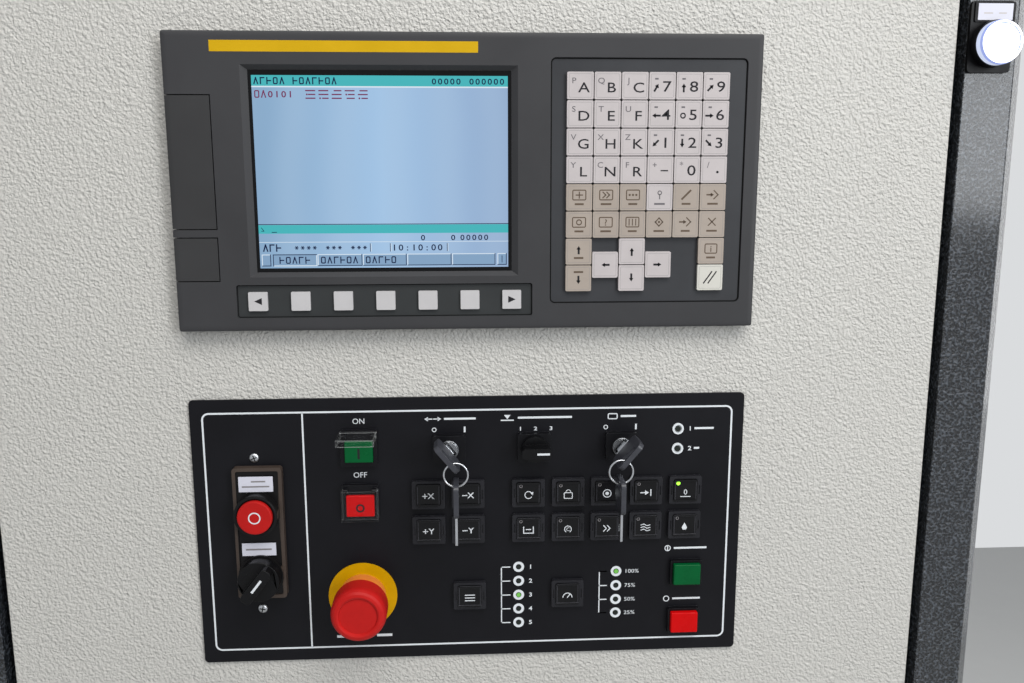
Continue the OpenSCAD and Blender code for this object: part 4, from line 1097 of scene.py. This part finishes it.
def small_fittings():
    """Station screws, the bright rims of the key switches and the trim round the stop button."""
    screw = [(3.5, 2.0), (3.5, 2.5), (3.2, 3.1), (2.4, 3.6), (1.3, 3.85), (0.0, 3.9)]
    for i, (x, up) in enumerate(((-156.6, 57.9), (-156.1, -58.5))):
        z = PLATE_MID + up
        turned("station_screw_%d" % (i + 1), x, z, screw, zinc)
        # Painted shade: the cross recess in each screw head drawn as a flat dark print.
        cross = Print(x, z)
        turn = 0.35 + i
        for angle in (turn, turn + math.pi / 2):
            dx, dz = 1.9 * math.cos(angle), 1.9 * math.sin(angle)
            cross.line([(-dx, -dz), (dx, dz)], 0.75)
        cross.piece("station_screw_cross_%d" % (i + 1), 3.93, rubber_and_painted_shade)
    rim = [(6.2, 8.0), (6.2, 10.0), (6.5, 10.2), (7.0, 9.7), (7.2, 8.9), (7.3, 8.0)]
    for side, x in SWITCH_X.items():
        turned("key_switch_rim_" + side, x, PLATE_MID + SWITCH_Z, rim, rim_metal)
    trim = [(12.8, 15.0), (12.9, 15.4), (14.3, 15.4), (15.4, 14.6)]
    turned("stop_trim_ring", STATION_X, PLATE_MID + STOP_Z, trim, knob_black)


# Light, floor and camera


def set_camera():
    """The photograph's fitted view, as right, up and forward rows."""
    right = Vector((0.998486, -0.054971, -0.001857))
    forward = Vector((0.0538, 0.983124, -0.174849))
    up = -Vector((-0.011437, -0.174484, -0.984594))
    place = on_door(-4.9006, DISPLAY_TOP - 98.1108, 636.7025)
    focal_pixels = 900.3305
    photo_pixels = 1024
    lens = bpy.data.cameras.new("photo_view")
    lens.sensor_width = 36.0
    lens.lens = focal_pixels / photo_pixels * lens.sensor_width
    lens.clip_start = 0.02
    camera = bpy.data.objects.new("photo_view", lens)
    turn = Matrix((right, up, -forward)).transposed()
    camera.matrix_world = Matrix.Translation(place) @ turn.to_4x4()
    add_to_scene(camera)
    bpy.context.scene.camera = camera


def set_light():
    """A dim sky that looks pale to the camera and in reflections, and three area lights."""
    world = bpy.data.worlds.new("studio")
    bpy.context.scene.world = world
    world.use_nodes = True
    tree = world.node_tree
    soft = tree.nodes["Background"]
    set_inputs(soft, {"Color": (0.88, 0.93, 1.0, 1.0), "Strength": 0.24})
    seen = add_node(tree, "Background", {"Color": tone(218, 220, 222), "Strength": 1.0})
    rays = add_node(tree, "LightPath")
    seen_or_glossy = add_node(tree, "Math", operation="MAXIMUM")
    or_through = add_node(tree, "Math", operation="MAXIMUM")
    mix = add_node(tree, "MixShader")
    join(rays, "Is Camera Ray", seen_or_glossy, 0)
    join(rays, "Is Glossy Ray", seen_or_glossy, 1)
    join(seen_or_glossy, "Value", or_through, 0)
    join(rays, "Is Transmission Ray", or_through, 1)
    join(or_through, "Value", mix, 0)
    join(soft, "Background", mix, 1)
    join(seen, "Background", mix, 2)
    join(mix, "Shader", tree.nodes["World Output"], "Surface")

    def panel(name, place, aim, size, power, tint):
        lamp = bpy.data.lights.new(name, "AREA")
        lamp.shape = "RECTANGLE"
        lamp.size, lamp.size_y = size
        lamp.energy = power
        lamp.color = tint
        holder = bpy.data.objects.new(name, lamp)
        holder.location = place
        holder.rotation_euler = (Vector(aim) - Vector(place)).to_track_quat("-Z", "Y").to_euler()
        holder.visible_camera = False
        add_to_scene(holder)

    panel("ceiling_panel", (0.5, -1.7, 3.3), (0.1, -0.15, 1.1), (2.6, 1.4), 73.0, (1.0, 0.985, 0.955))
    panel("window_panel", (1.75, -2.35, 1.87), (0.45, -0.15, 1.3), (0.8, 1.35), 36.0, (0.94, 0.97, 1.0))
    panel("rim_panel", (2.0, 0.9, 1.5), (0.4, -0.1, 1.3), (0.8, 1.6), 3.0, (1.0, 1.0, 1.0))


def set_floor():
    """A pale studio floor half a millimetre under the feet."""
    build = bmesh.new()
    bmesh.ops.create_grid(build, x_segments=2, y_segments=2, size=2.2)
    floor = mesh_object("studio_floor", build, surface("pale_floor", (214, 214, 212), 0.7, 0.02))
    floor.location.z = -0.0005


keypad_legends()
display_marks()
screen_picture()
plate_marks()
switch_marks()
jog_legends()
function_legends()
choice_legends()
key_lamps()
labels()
small_fittings()
set_camera()
set_light()
set_floor()
bpy.context.scene.view_settings.view_transform = "Standard"
